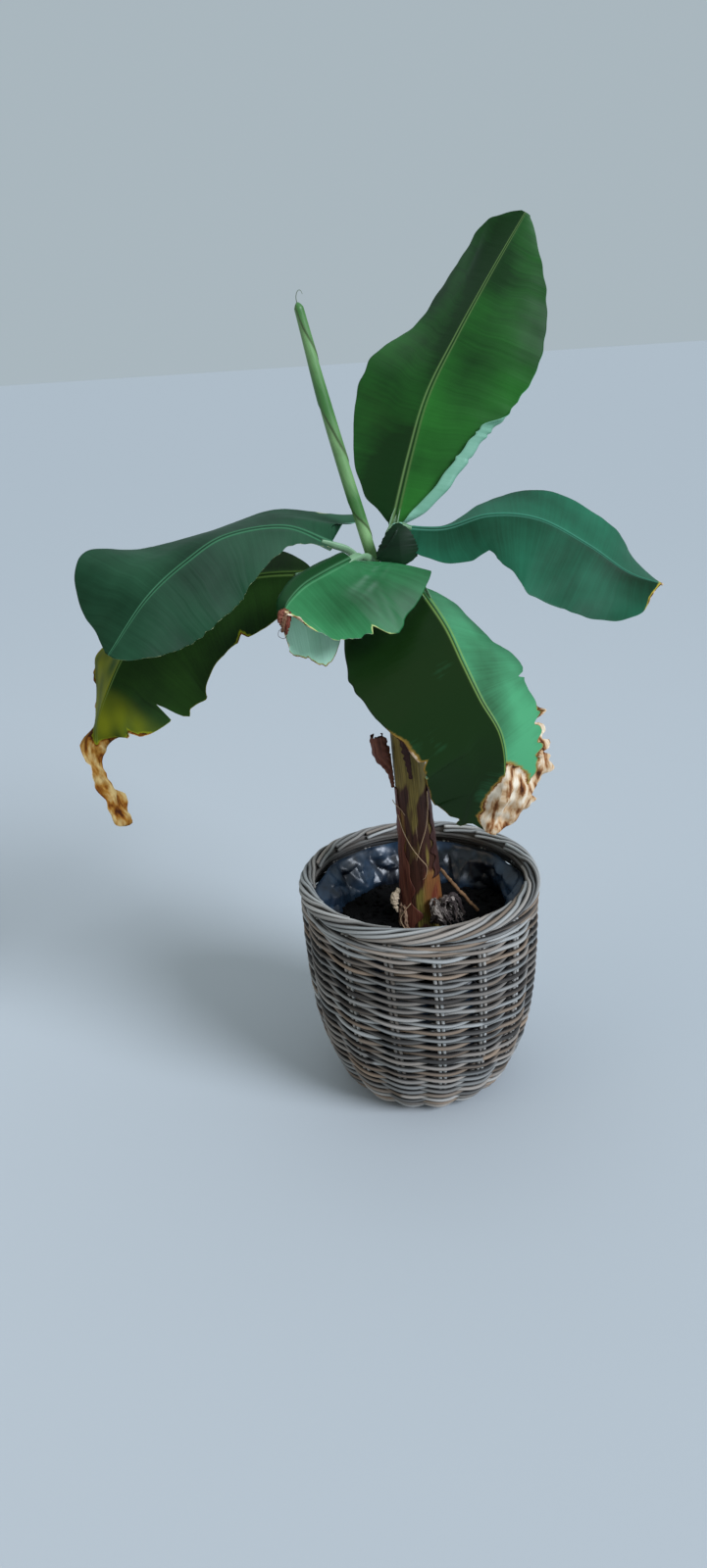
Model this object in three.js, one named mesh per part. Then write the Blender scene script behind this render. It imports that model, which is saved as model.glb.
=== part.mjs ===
/*
 * Young banana plant growing in a lined wicker basket.
 *
 * Millimetres, +Z up. The origin is the centre of the basket's flat underside, -Y is the side
 * that the two front leaves hang over, and +X is the side of the arching right leaf.
 */
import * as THREE from 'three';

const { clamp, degToRad, lerp, smoothstep } = THREE.MathUtils;

// Basket. The wall is given by its outer radius at each height.
const BASKET_WALL = [
  [115, 0], [136, 14], [155, 42], [174, 90], [186, 145], [193, 205], [197, 275], [198, 340], [198, 366],
];
const WALL_THICKNESS = 13;
const BASE_THICKNESS = 14;

// Weave. At each stake of a row one weaver lies outside, and halfway between stakes both cross,
// further in. The rows are set out along the wall, from its foot.
const STAKES = 16;
const STAKE_TURN = 5;
const WEAVE_ROWS = 24;
const FIRST_ROW = 8;
const ROW_PITCH = 15.4;
const CROSSING_DEPTH = 5;
const GROOVE_DEPTH = 5.5;
const BASKET_SEGMENTS = 2 * STAKES;

const BORDER_RADIUS = 186;
const BORDER_HALF_WIDTH = 14;
const BORDER_BOTTOM = 366.3;
const BORDER_TOP = 394;
const BORDER_SIDES = 10;

// Liner and soil stand inside one another, a hair apart.
const GAP = 0.3;
const LINER_THICKNESS = 2;
const LINER_TOP = 362;
const SOIL_TOP = 300;
const SOIL_EDGE_DROP = 8;
const SOIL_CROWN_RADIUS = 110;

// Pseudostem, from the flat cut at the soil to the crown: [x, y, z, radius].
const CROWN_TOP = 850;
const STEM_FOOT = SOIL_TOP + GAP;
const STEM = [
  [4, 0, STEM_FOOT, 41], [3, 0, 330, 36], [1, -1, 410, 32.5], [-4, -2, 520, 27.5],
  [-11, -3, 640, 25.5], [-19, -3, 760, 24], [-26, -3, CROWN_TOP, 23],
];
const STEM_SIDES = 18;
const STEM_ROWS = 22;

// The petioles stand in a ring on the crown, round the rolled spear leaf.
const CROWN_RING_RADIUS = 15;
const PETIOLE_FOOT_RADIUS = 7;
const PETIOLE_TIP_RADIUS = 5.5;
const PETIOLE_SIDES = 10;
const PETIOLE_ROWS = 9;

const SPEAR = [
  [-26, -3, CROWN_TOP + GAP, 7], [-42, -5, 895, 8.2], [-66, -4, 985, 9], [-100, 0, 1120, 9],
  [-132, 4, 1268, 6.5],
];
const SPEAR_SIDES = 12;
const SPEAR_ROWS = 16;

// Blades: thickness at the margin, and the thicker midrib at base and tip.
const BLADE_THICKNESS = 6;
const RIB_THICKNESS_BASE = 11;
const RIB_THICKNESS_TIP = 6;
const BLADE_ROWS = 18;
const HALF_COLUMNS = 4;
const SECTION_STEPS = 3;
const LEAST_HALF_WIDTH = 7.5;
const TANGENT_STEP = 1e-3;
// A vein leaves the rib square to it and takes up its sweep between these distances.
const SWEEP_START = 30;
const SWEEP_FULL = 60;

// One station of a blade. Pairs are [left, right] as seen from above, looking from base to tip:
// half-width, angle by which the half falls from the rib, further curl by the margin, forward sweep.
function station(rib, half, fall, curl = [0, 0], sweep = [0, 0]) {
  return [...rib, ...half, ...fall, ...curl, ...sweep];
}

const RIB = 0;
const HALF = 3;
const FALL = 5;
const CURL = 7;
const SWEEP = 9;

const LEAVES = {
  tall: {
    up: [-0.35, -1, 0.35],
    crownAngle: 60,
    petiole: [[-20, 9, 905]],
    baseRound: 0.12,
    tipRound: 0.2,
    stations: [
      station([-15, 10, 960], [45, 40], [0, 0], [0, 0], [-10, -5]),
      station([15, 40, 1055], [95, 68], [5, 5], [10, 10], [5, 5]),
      station([45, 60, 1135], [116, 108], [5, 5], [15, 15], [10, 5]),
      station([90, 80, 1210], [95, 125], [25, 5], [15, 15], [10, 5]),
      station([140, 100, 1285], [95, 94], [30, 10], [15, 15], [15, 10]),
      station([188, 112, 1358], [60, 60], [10, 20], [0, 0], [20, 20]),
    ],
  },
  left: {
    up: [0, 0, 1],
    crownAngle: 186,
    petiole: [[-55, -14, 883], [-77, -11, 928]],
    baseRound: 0.04,
    tipRound: 0.2,
    stations: [
      station([-105, -20, 945], [15, 80], [60, -25], [0, 0], [0, -50]),
      station([-170, -45, 980], [32, 100], [55, -10], [10, 10], [5, -10]),
      station([-250, -80, 980], [82, 105], [60, 0], [10, 15], [10, 5]),
      station([-305, -115, 955], [90, 108], [60, -10], [10, 10], [10, 10]),
      station([-360, -150, 915], [86, 108], [60, -32], [10, 5], [10, 10]),
      station([-415, -185, 850], [50, 60], [55, -30], [0, 0], [10, 15]),
    ],
  },
  lower_left: {
    up: [0, 0, 1],
    crownAngle: 122,
    petiole: [[-58, 12, 882], [-105, 11, 901]],
    baseRound: 0.05,
    tipRound: 0.05,
    split: 0.55,
    stations: [
      station([-140, 10, 900], [40, 60], [70, 10]),
      station([-220, 10, 900], [78, 90], [75, 15]),
      station([-305, 0, 885], [95, 100], [75, 20]),
      station([-390, -15, 845], [132, 90], [75, 20]),
      station([-450, -30, 765], [110, 75], [65, -10]),
      station([-485, -40, 665], [25, 22], [40, 10]),
      station([-450, -60, 540], [14, 14], [30, 20]),
    ],
  },
  front: {
    up: [0, 0, 1],
    crownAngle: 244,
    petiole: [[-42, -24, 890], [-60, -36, 929]],
    baseRound: 0.03,
    tipRound: 0.1,
    stations: [
      station([-80, -60, 930], [118, 60], [8, 20], [18, 60], [-36, 0]),
      station([-115, -105, 925], [120, 110], [42, 25], [10, 60], [-18, 0]),
      station([-145, -150, 920], [95, 125], [50, 50], [0, 70]),
      station([-165, -185, 910], [78, 110], [50, 60], [0, 70]),
      station([-175, -205, 900], [40, 70], [50, 70], [0, 60]),
    ],
  },
  front_right: {
    up: [0, -1, 0.6],
    crownAngle: 302,
    petiole: [[-10, -26, 869], [8, -27, 887]],
    baseRound: 0.05,
    tipRound: 0.05,
    stations: [
      station([17, -42, 880], [40, 105], [40, 10], [0, 0], [0, -14]),
      station([45, -125, 845], [75, 170], [50, 20], [0, 0], [0, -7]),
      station([65, -165, 800], [108, 148], [50, 20], [0, 0], [0, 4]),
      station([85, -190, 755], [110, 128], [50, 20], [0, 0], [0, 8]),
      station([110, -205, 705], [105, 120], [45, 20], [0, 0], [0, 16]),
      station([115, -205, 640], [95, 104], [40, 20], [0, 0], [0, 35]),
      station([100, -195, 550], [20, 25], [30, 20], [0, 0], [0, 20]),
    ],
  },
  right: {
    up: [0, 0, 1],
    crownAngle: 0,
    petiole: [[-17, -8, 905], [-25, -12, 952]],
    baseRound: 0.04,
    tipRound: 0.12,
    stations: [
      station([-10, -15, 965], [10, 54], [0, 60], [0, 0], [0, -25]),
      station([55, -25, 960], [10, 58], [0, 50]),
      station([120, -30, 975], [62, 71], [-8, 45]),
      station([190, -35, 965], [92, 92], [-16, 40]),
      station([260, -45, 925], [98, 116], [-18, 40]),
      station([315, -55, 885], [72, 78], [-10, 40], [0, 0], [0, 5]),
      station([365, -60, 865], [22, 22], [0, 30], [0, 0], [0, 10]),
    ],
  },
};
const SPLIT_GAP = 0.0006;

// Dry remains at the stem: [height, angle round the stem, distance from its skin, radius].
const DEAD_STUB = [[548, 185, 0.4, 2.5], [574, 188, 2, 6], [606, 190, 6, 8.5], [636, 190, 11, 5]];
const LEFT_SCRAP = [[304, 205, 12, 3], [322, 200, 8, 8], [345, 198, 4, 7], [362, 195, -0.3, 3]];
const RIGHT_SCRAP = [[306, 345, 0, 5], [310, 350, 12, 9], [318, 352, 26, 8], [326, 356, 34, 4]];
const FALLEN_STICK = [[398, 348, -0.4, 2.5], [355, 8, 22, 3], [304, 15, 52, 2.5]];
const SCRAP_SIDES = 8;
const SCRAP_ROWS = 6;

const LOOKS = {
  rattan: { color: 0x8d8478, roughness: 0.75, metalness: 0 },
  film: { color: 0x1c2330, roughness: 0.25, metalness: 0 },
  soil: { color: 0x2a1f18, roughness: 1, metalness: 0 },
  stem: { color: 0x6b5a34, roughness: 0.6, metalness: 0 },
  petiole: { color: 0x7fa07a, roughness: 0.45, metalness: 0 },
  blade: { color: 0x2c6b3a, roughness: 0.4, metalness: 0 },
  dry: { color: 0x6a4632, roughness: 0.85, metalness: 0 },
};

const plant = new THREE.Group();

function addMesh(name, geometry, look) {
  const mesh = new THREE.Mesh(geometry, new THREE.MeshStandardMaterial(LOOKS[look]));
  mesh.name = name;
  plant.add(mesh);
}

// Uniform Catmull-Rom through rows of numbers, with the ends carried on in a straight line.
function spline(rows, t) {
  const last = rows.length - 1;
  const place = clamp(t, 0, 1) * last;
  const i = Math.min(Math.floor(place), last - 1);
  const u = place - i;
  return rows[i].map((start, k) => {
    const end = rows[i + 1][k];
    const before = i > 0 ? rows[i - 1][k] : 2 * start - end;
    const after = i + 2 <= last ? rows[i + 2][k] : 2 * end - start;
    const leave = (end - before) / 2;
    const arrive = (after - start) / 2;
    const cubic = 2 * start - 2 * end + leave + arrive;
    const square = 3 * end - 3 * start - 2 * leave - arrive;
    return ((cubic * u + square) * u + leave) * u + start;
  });
}

const pointOf = (row) => new THREE.Vector3(row[0], row[1], row[2]);

function tangentOf(rows, t) {
  const ahead = pointOf(spline(rows, Math.min(t + TANGENT_STEP, 1)));
  const behind = pointOf(spline(rows, Math.max(t - TANGENT_STEP, 0)));
  return ahead.sub(behind).normalize();
}

function bufferGeometry(points, triangles) {
  const geometry = new THREE.BufferGeometry();
  geometry.setAttribute('position', new THREE.Float32BufferAttribute(points.flatMap((p) => p.toArray()), 3));
  geometry.setIndex(triangles);
  return geometry;
}

// A closed body from a stack of rings, each drawn inwards to a point at the foot and the head.
function stackGeometry(stack, foot, head) {
  const sides = stack[0].length;
  const rings = stack.length - 1;
  const triangles = [];
  for (let i = 0; i < rings; i += 1) {
    for (let j = 0; j < sides; j += 1) {
      const a = i * sides + j;
      const b = i * sides + ((j + 1) % sides);
      triangles.push(a, b, b + sides, a, b + sides, a + sides);
    }
  }
  const last = stack.length * sides;
  for (let j = 0; j < sides; j += 1) {
    const next = (j + 1) % sides;
    triangles.push(last, next, j, last + 1, rings * sides + j, rings * sides + next);
  }
  return bufferGeometry([...stack.flat(), foot, head], triangles);
}

// A round tapering limb through rows of [x, y, z, radius], with flat ends.
// Each end is cut square to the limb, or square to the normal that is given for it.
function limbGeometry(rows, sides, rings, startNormal, endNormal) {
  const stack = [];
  let across = new THREE.Vector3(1, 0, 0);
  for (let i = 0; i <= rings; i += 1) {
    const row = spline(rows, i / rings);
    const given = (i === 0 && startNormal) || (i === rings && endNormal);
    const along = given ? given.clone() : tangentOf(rows, i / rings);
    across = across.clone().addScaledVector(along, -across.dot(along)).normalize();
    const beside = new THREE.Vector3().crossVectors(along, across);
    stack.push(Array.from({ length: sides }, (_, j) => {
      const angle = (2 * Math.PI * j) / sides;
      return pointOf(row)
        .addScaledVector(across, Math.cos(angle) * row[3])
        .addScaledVector(beside, Math.sin(angle) * row[3]);
    }));
  }
  return stackGeometry(stack, pointOf(rows[0]), pointOf(rows[rows.length - 1]));
}

// Half-width at t, with the outline rounded off at the base and at the tip.
function halfWidth(leaf, row, side, t) {
  const round = (part) => Math.sqrt(Math.max(0, 1 - (1 - Math.min(part, 1)) ** 2));
  const outline = row[HALF + side] * round(t / leaf.baseRound) * round((1 - t) / leaf.tipRound);
  return Math.max(LEAST_HALF_WIDTH, outline);
}

// Point and normal of the blade's middle surface on one side (0 left, 1 right) of the rib.
// t runs from base to tip, and part from 0 at the rib to 1 at the margin.
function bladeSample(leaf, t, side, part) {
  const row = spline(leaf.stations, t);
  const reach = part * halfWidth(leaf, row, side, t);
  const along = tangentOf(leaf.stations, t);
  const across = new THREE.Vector3().crossVectors(along, new THREE.Vector3(...leaf.up)).normalize();
  const upward = new THREE.Vector3().crossVectors(across, along);
  const outward = across.clone().multiplyScalar(side ? 1 : -1);
  const slopeAt = (place) => degToRad(row[FALL + side] + row[CURL + side] * place);
  let out = 0;
  let down = 0;
  for (let i = 0; i < SECTION_STEPS; i += 1) {
    const slope = slopeAt((part * (i + 0.5)) / SECTION_STEPS);
    out += (Math.cos(slope) * reach) / SECTION_STEPS;
    down += (Math.sin(slope) * reach) / SECTION_STEPS;
  }
  const sweep = degToRad(row[SWEEP + side]) * smoothstep(reach, SWEEP_START, SWEEP_FULL);
  const point = pointOf(row)
    .addScaledVector(outward, out * Math.cos(sweep))
    .addScaledVector(along, out * Math.sin(sweep))
    .addScaledVector(upward, -down);
  const slope = slopeAt(part);
  const normal = upward.multiplyScalar(Math.cos(slope)).addScaledVector(outward, Math.sin(slope));
  return { point, normal };
}

// One row of a blade, from its left margin over the rib to its right margin.
function bladeRow(leaf, t) {
  const half = (side) => Array.from(
    { length: HALF_COLUMNS + 1 },
    (_, k) => bladeSample(leaf, t, side, k / HALF_COLUMNS),
  );
  const left = half(0).reverse();
  const [rib, ...right] = half(1);
  left[HALF_COLUMNS].normal.add(rib.normal).normalize();
  return [...left, ...right];
}

// The stretch of a blade from one t to another, as a closed plate.
function bladeGeometry(leaf, from, to, rows) {
  const columns = 2 * HALF_COLUMNS;
  const width = columns + 1;
  const upper = [];
  const lower = [];
  for (let i = 0; i <= rows; i += 1) {
    const t = from + ((to - from) * i) / rows;
    const ribThickness = lerp(RIB_THICKNESS_BASE, RIB_THICKNESS_TIP, t);
    bladeRow(leaf, t).forEach(({ point, normal }, j) => {
      const thickness = j === HALF_COLUMNS ? ribThickness : BLADE_THICKNESS;
      upper.push(point.clone().addScaledVector(normal, BLADE_THICKNESS / 2));
      lower.push(point.clone().addScaledVector(normal, BLADE_THICKNESS / 2 - thickness));
    });
  }
  const under = upper.length;
  const triangles = [];
  for (let i = 0; i < rows; i += 1) {
    for (let j = 0; j < columns; j += 1) {
      const a = i * width + j;
      const [b, c, d] = [a + 1, a + width + 1, a + width];
      triangles.push(a, b, c, a, c, d, under + a, under + c, under + b, under + a, under + d, under + c);
    }
  }
  const rim = [];
  for (let j = 0; j < columns; j += 1) rim.push(j);
  for (let i = 0; i < rows; i += 1) rim.push(i * width + columns);
  for (let j = columns; j > 0; j -= 1) rim.push(rows * width + j);
  for (let i = rows; i > 0; i -= 1) rim.push(i * width);
  rim.forEach((a, k) => {
    const b = rim[(k + 1) % rim.length];
    triangles.push(a, under + a, under + b, a, under + b, b);
  });
  return bufferGeometry([...upper, ...lower], triangles);
}

function latheGeometry(profile, segments) {
  const geometry = new THREE.LatheGeometry(profile.map(([r, z]) => new THREE.Vector2(r, z)), segments);
  return geometry.rotateX(Math.PI / 2);
}

// Radius of the wall's inner face at a height.
function innerRadius(z) {
  const above = BASKET_WALL.findIndex(([, height]) => height >= z);
  const [r1, z1] = BASKET_WALL[above];
  const [r0, z0] = BASKET_WALL[Math.max(above - 1, 0)];
  const part = z1 > z0 ? (z - z0) / (z1 - z0) : 0;
  return r0 + (r1 - r0) * part - WALL_THICKNESS;
}

// Profile of a filling that stands inside the wall, offset inwards, from its floor to its top.
function fillingOutline(floor, top, offset) {
  const heights = BASKET_WALL.map(([, z]) => z).filter((z) => z > floor + 1 && z < top - 1);
  return [floor, ...heights, top].map((z) => [innerRadius(z) - offset, z]);
}

// Place on the wall's outline, and the way out from it, at a distance up the wall from its foot.
function wallAt(distance) {
  const ends = BASKET_WALL.map(([r, z]) => new THREE.Vector2(r, z));
  let left = distance;
  let k = 0;
  while (k < ends.length - 2 && left > ends[k].distanceTo(ends[k + 1])) {
    left -= ends[k].distanceTo(ends[k + 1]);
    k += 1;
  }
  const along = ends[k + 1].clone().sub(ends[k]).normalize();
  return { place: ends[k].clone().addScaledVector(along, left), out: new THREE.Vector2(along.y, -along.x) };
}

// A ring of points [radius, height], given for the stakes and for the crossings between them.
function basketRing(atStake, atCrossing, turn) {
  return Array.from({ length: BASKET_SEGMENTS }, (_, j) => {
    const [r, z] = j % 2 ? atCrossing : atStake;
    const angle = degToRad(turn) + (2 * Math.PI * j) / BASKET_SEGMENTS;
    return new THREE.Vector3(r * Math.cos(angle), r * Math.sin(angle), z);
  });
}

// The woven outer face, ring by ring: a weaver over the stakes, then the groove above it.
function weave() {
  const levels = Array.from({ length: 2 * WEAVE_ROWS - 1 }, (_, i) => {
    const { place, out } = wallAt(FIRST_ROW + (i * ROW_PITCH) / 2);
    const sunk = (depth) => place.clone().addScaledVector(out, -depth).toArray();
    return basketRing(sunk(i % 2 ? GROOVE_DEPTH : 0), sunk(CROSSING_DEPTH), STAKE_TURN);
  });
  const [foot, rim] = [BASKET_WALL[0], BASKET_WALL[BASKET_WALL.length - 1]];
  return [basketRing(foot, foot, STAKE_TURN), ...levels, basketRing(rim, rim, STAKE_TURN)];
}

function basket() {
  const inner = fillingOutline(BASE_THICKNESS, BORDER_BOTTOM - GAP, 0).reverse();
  const shell = [...weave(), ...inner.map((at) => basketRing(at, at, 0))];
  const floor = new THREE.Vector3(0, 0, BASE_THICKNESS);
  addMesh('basket_shell', stackGeometry(shell, new THREE.Vector3(), floor), 'rattan');
  const middle = (BORDER_BOTTOM + BORDER_TOP) / 2;
  const halfHeight = (BORDER_TOP - BORDER_BOTTOM) / 2;
  const ring = Array.from({ length: BORDER_SIDES + 1 }, (_, k) => {
    const angle = ((k + 0.5) * 2 * Math.PI) / BORDER_SIDES - Math.PI / 2;
    const stretch = 1 / Math.cos(Math.PI / BORDER_SIDES);
    return [
      BORDER_RADIUS + BORDER_HALF_WIDTH * Math.cos(angle),
      middle + halfHeight * stretch * Math.sin(angle),
    ];
  });
  addMesh('basket_border', latheGeometry(ring, BASKET_SEGMENTS), 'rattan');
}

function linerAndSoil() {
  const floor = BASE_THICKNESS + GAP;
  const outer = fillingOutline(floor, LINER_TOP, GAP);
  const inside = floor + LINER_THICKNESS;
  const inner = fillingOutline(inside, LINER_TOP, GAP + LINER_THICKNESS);
  const film = [[0, floor], ...outer, ...inner.reverse(), [0, inside]];
  addMesh('basket_liner', latheGeometry(film, BASKET_SEGMENTS), 'film');
  const soilEdge = SOIL_TOP - SOIL_EDGE_DROP;
  const soil = fillingOutline(inside + GAP, soilEdge, 2 * GAP + LINER_THICKNESS);
  const body = [[0, inside + GAP], ...soil, [SOIL_CROWN_RADIUS, SOIL_TOP], [0, SOIL_TOP]];
  addMesh('potting_soil', latheGeometry(body, BASKET_SEGMENTS), 'soil');
}

const LEVEL = new THREE.Vector3(0, 0, 1);

function pseudostem() {
  addMesh('pseudostem', limbGeometry(STEM, STEM_SIDES, STEM_ROWS, LEVEL, LEVEL), 'stem');
  addMesh('spear_leaf', limbGeometry(SPEAR, SPEAR_SIDES, SPEAR_ROWS, LEVEL), 'petiole');
}

function petiole(name, leaf) {
  const angle = degToRad(leaf.crownAngle);
  const [crownX, crownY] = STEM[STEM.length - 1];
  const foot = [
    crownX + CROWN_RING_RADIUS * Math.cos(angle),
    crownY + CROWN_RING_RADIUS * Math.sin(angle),
    CROWN_TOP + GAP,
    PETIOLE_FOOT_RADIUS,
  ];
  const outwards = tangentOf(leaf.stations, 0);
  const tip = pointOf(leaf.stations[0]).addScaledVector(outwards, -GAP).toArray();
  const radiusAt = (i) => lerp(PETIOLE_FOOT_RADIUS, PETIOLE_TIP_RADIUS, (i + 1) / (leaf.petiole.length + 1));
  const middle = leaf.petiole.map((point, i) => [...point, radiusAt(i)]);
  const rows = [foot, ...middle, [...tip, PETIOLE_TIP_RADIUS]];
  addMesh(`petiole_${name}`, limbGeometry(rows, PETIOLE_SIDES, PETIOLE_ROWS, LEVEL, outwards), 'petiole');
}

function blade(name, leaf) {
  if (!leaf.split) {
    addMesh(`blade_${name}`, bladeGeometry(leaf, 0, 1, BLADE_ROWS), 'blade');
    return;
  }
  const inner = bladeGeometry(leaf, 0, leaf.split - SPLIT_GAP, BLADE_ROWS / 2);
  const outer = bladeGeometry(leaf, leaf.split + SPLIT_GAP, 1, BLADE_ROWS / 2 + 1);
  addMesh(`blade_${name}_inner`, inner, 'blade');
  addMesh(`blade_${name}_outer`, outer, 'blade');
}

// A point beside the stem's skin at a height and an angle, clear of it by a distance.
function besideStem([z, angle, clear, radius]) {
  const heights = STEM.map((row) => row[2]);
  const above = Math.max(1, heights.findIndex((height) => height >= z));
  const part = clamp((z - heights[above - 1]) / (heights[above] - heights[above - 1]), 0, 1);
  const [x, y, , stemRadius] = spline(STEM, (above - 1 + part) / (STEM.length - 1));
  const away = stemRadius + clear + radius;
  return [x + away * Math.cos(degToRad(angle)), y + away * Math.sin(degToRad(angle)), z, radius];
}

function dryRemains() {
  const pieces = {
    dead_petiole_stub: DEAD_STUB,
    sheath_scrap_left: LEFT_SCRAP,
    sheath_scrap_right: RIGHT_SCRAP,
    fallen_stick: FALLEN_STICK,
  };
  Object.entries(pieces).forEach(([name, rows]) => {
    addMesh(name, limbGeometry(rows.map(besideStem), SCRAP_SIDES, SCRAP_ROWS), 'dry');
  });
}

basket();
linerAndSoil();
pseudostem();
Object.entries(LEAVES).forEach(([name, leaf]) => {
  petiole(name, leaf);
  blade(name, leaf);
});
dryRemains();

export default plant;
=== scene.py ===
"""Young banana plant in a lined wicker basket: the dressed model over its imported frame.

Metres, +Z up, the origin at the centre of the basket's flat underside. Sizes written as the
source has them are in millimetres and are turned to metres by MM.
"""
import logging
import math
from dataclasses import dataclass, field
from enum import Enum
from functools import cached_property

import bpy
import numpy as np
from mathutils import Matrix, Vector

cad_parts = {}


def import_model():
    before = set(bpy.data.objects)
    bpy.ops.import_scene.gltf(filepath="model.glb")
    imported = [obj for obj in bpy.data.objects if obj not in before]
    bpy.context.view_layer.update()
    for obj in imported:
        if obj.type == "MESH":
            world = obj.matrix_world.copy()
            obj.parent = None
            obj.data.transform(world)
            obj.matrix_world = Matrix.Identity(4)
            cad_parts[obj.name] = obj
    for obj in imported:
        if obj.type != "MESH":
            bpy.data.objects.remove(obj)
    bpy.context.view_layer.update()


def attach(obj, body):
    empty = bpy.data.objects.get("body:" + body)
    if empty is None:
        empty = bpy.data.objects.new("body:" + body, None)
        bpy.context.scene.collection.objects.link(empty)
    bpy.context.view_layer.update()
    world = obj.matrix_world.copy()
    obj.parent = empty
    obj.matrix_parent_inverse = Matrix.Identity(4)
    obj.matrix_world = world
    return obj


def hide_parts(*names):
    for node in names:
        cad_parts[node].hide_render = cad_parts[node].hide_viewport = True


LOG = logging.getLogger("banana_plant")
MM = 0.001
UP = np.array([0.0, 0.0, 1.0])
FRONT = np.array([0.0, -1.0, 0.0])
TURN = 2 * math.pi

Array = np.ndarray
Colour = tuple[float, float, float, float]
Material = bpy.types.Material
Piece = bpy.types.Object
Socket = bpy.types.NodeSocket


def linear(code: str) -> Colour:
    """Turns an sRGB hex colour to linear RGBA.

    Args:
        code: a colour such as "#8d8478".

    Returns:
        The linear colour with an alpha of 1.
    """
    parts = [int(code[i : i + 2], 16) / 255 for i in (1, 3, 5)]
    red, green, blue = (c / 12.92 if c <= 0.04045 else ((c + 0.055) / 1.055) ** 2.4 for c in parts)
    return red, green, blue, 1.0


def add_node(
    tree: bpy.types.NodeTree, kind: str, settings: dict | None = None, inputs: dict | None = None
) -> bpy.types.Node:
    """Adds one node with its settings, values and links.

    Args:
        tree: the material's or world's node tree.
        kind: the node's type name.
        settings: attributes to set. "stops" lists a ramp's (position, colour) pairs.
        inputs: for each socket, by name or number, a value or the output socket to link.

    Returns:
        The new node.
    """
    node = tree.nodes.new(kind)
    for name, value in (settings or {}).items():
        if name != "stops":
            setattr(node, name, value)
            continue
        elements = node.color_ramp.elements
        while len(elements) < len(value):
            elements.new(0.5)
        for element, (position, colour) in zip(elements, value):
            element.position = position
            element.color = colour
    for key, value in (inputs or {}).items():
        if isinstance(value, Socket):
            tree.links.new(value, node.inputs[key])
        else:
            node.inputs[key].default_value = value
    return node


def unit(vectors: Array) -> Array:
    """Vectors scaled to a length of 1, along the last axis."""
    return vectors / np.maximum(np.linalg.norm(vectors, axis=-1, keepdims=True), 1e-12)


def smooth(low: float, high: float, x: Array) -> Array:
    """Smooth step from 0 at low to 1 at high."""
    p = np.clip((x - low) / (high - low), 0, 1)
    return p * p * (3 - 2 * p)


def bell(x: Array) -> Array:
    """Bell curve: 1 at 0, nearly 0 from 2 on."""
    return np.exp(-(x ** 2))


def dome(x: Array) -> Array:
    """Height of a unit circle: 1 at 0, 0 from 1 on."""
    return np.sqrt(np.clip(1 - x ** 2, 0, 1))


def paired(*parts: Array | float) -> Array:
    """Arrays spread to one shape and set side by side along a new last axis."""
    return np.stack(np.broadcast_arrays(*parts), -1)


def polar(radius: Array | float, angle: Array, height: Array | float) -> Array:
    """Places (..., 3) at radii and heights, and at angles in radians."""
    return paired(radius * np.cos(angle), radius * np.sin(angle), height)


def circle(count: int) -> Array:
    """Angles of points spread evenly over a whole turn."""
    return np.arange(count) * TURN / count


def distances(path: Array) -> Array:
    """Way along a path to each of its points."""
    return np.concatenate([[0], np.cumsum(np.linalg.norm(np.diff(path, axis=0), axis=1))])


def catmull(rows: Array, t: Array) -> Array:
    """Uniform Catmull-Rom through rows of numbers, its ends carried on in a straight line.

    Args:
        rows: one row of numbers per knot.
        t: places from 0 at the first knot to 1 at the last.

    Returns:
        One interpolated row per place.
    """
    rows = np.asarray(rows, float)
    last = len(rows) - 1
    place = np.clip(np.asarray(t, float), 0, 1) * last
    i = np.minimum(place.astype(int), last - 1)
    u = (place - i)[:, None]
    padded = np.vstack([2 * rows[0] - rows[1], rows, 2 * rows[-1] - rows[-2]])
    before, start, end, after = (padded[i + k] for k in range(4))
    leave, arrive = (end - before) / 2, (after - start) / 2
    cubic = 2 * start - 2 * end + leave + arrive
    square = 3 * end - 3 * start - 2 * leave - arrive
    return ((cubic * u + square) * u + leave) * u + start


def about(path: Array, guide: Array, angle: Array, closed: bool = False) -> Array:
    """Directions square to a path at each of its points.

    Args:
        path: (n, 3) centre line.
        guide: the direction, or one per point, that angle 0 faces.
        angle: (m,) or (n, m) angles about the path, in radians.
        closed: whether the path is a ring.

    Returns:
        (n, m, 3) unit vectors.
    """
    along = unit(np.roll(path, -1, 0) - np.roll(path, 1, 0) if closed else np.gradient(path, axis=0))
    guide = np.broadcast_to(np.asarray(guide, float), path.shape)
    across = unit(guide - (guide * along).sum(-1, keepdims=True) * along)
    beside = np.cross(along, across)
    angle = np.atleast_2d(angle)[..., None]
    return np.cos(angle) * across[:, None] + np.sin(angle) * beside[:, None]


@dataclass(frozen=True)
class Ripple:
    """A smooth random field made of crossed waves, the same on every run.

    Attributes:
        size: typical wavelength, in the units of the points.
        seed: picks the waves.
        waves: how many are crossed.
    """

    size: float
    seed: int
    waves: int = 10

    def along(self, points: Array) -> Array:
        """Measures how far points lie along each wave.

        Args:
            points: places of any shape (..., k).

        Returns:
            (..., waves) ways along each wave, in wavelengths.
        """
        rng = np.random.default_rng(self.seed)
        turn = unit(rng.normal(size=(self.waves, points.shape[-1])))
        turn *= rng.uniform(0.6, 1.6, (self.waves, 1)) / self.size
        return points @ turn.T + rng.uniform(0, 1, self.waves)

    def at(self, points: Array) -> Array:
        """Field at points of any shape (..., k), mostly between -1 and 1."""
        return np.sin(self.along(points) * TURN).sum(-1) / math.sqrt(self.waves)

    def creased(self, points: Array) -> Array:
        """The same waves folded flat between sharp creases, as in crumpled film."""
        place = self.along(points)
        return (np.abs(place - np.floor(place) - 0.5) * 4 - 1).sum(-1) / math.sqrt(self.waves)


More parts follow.
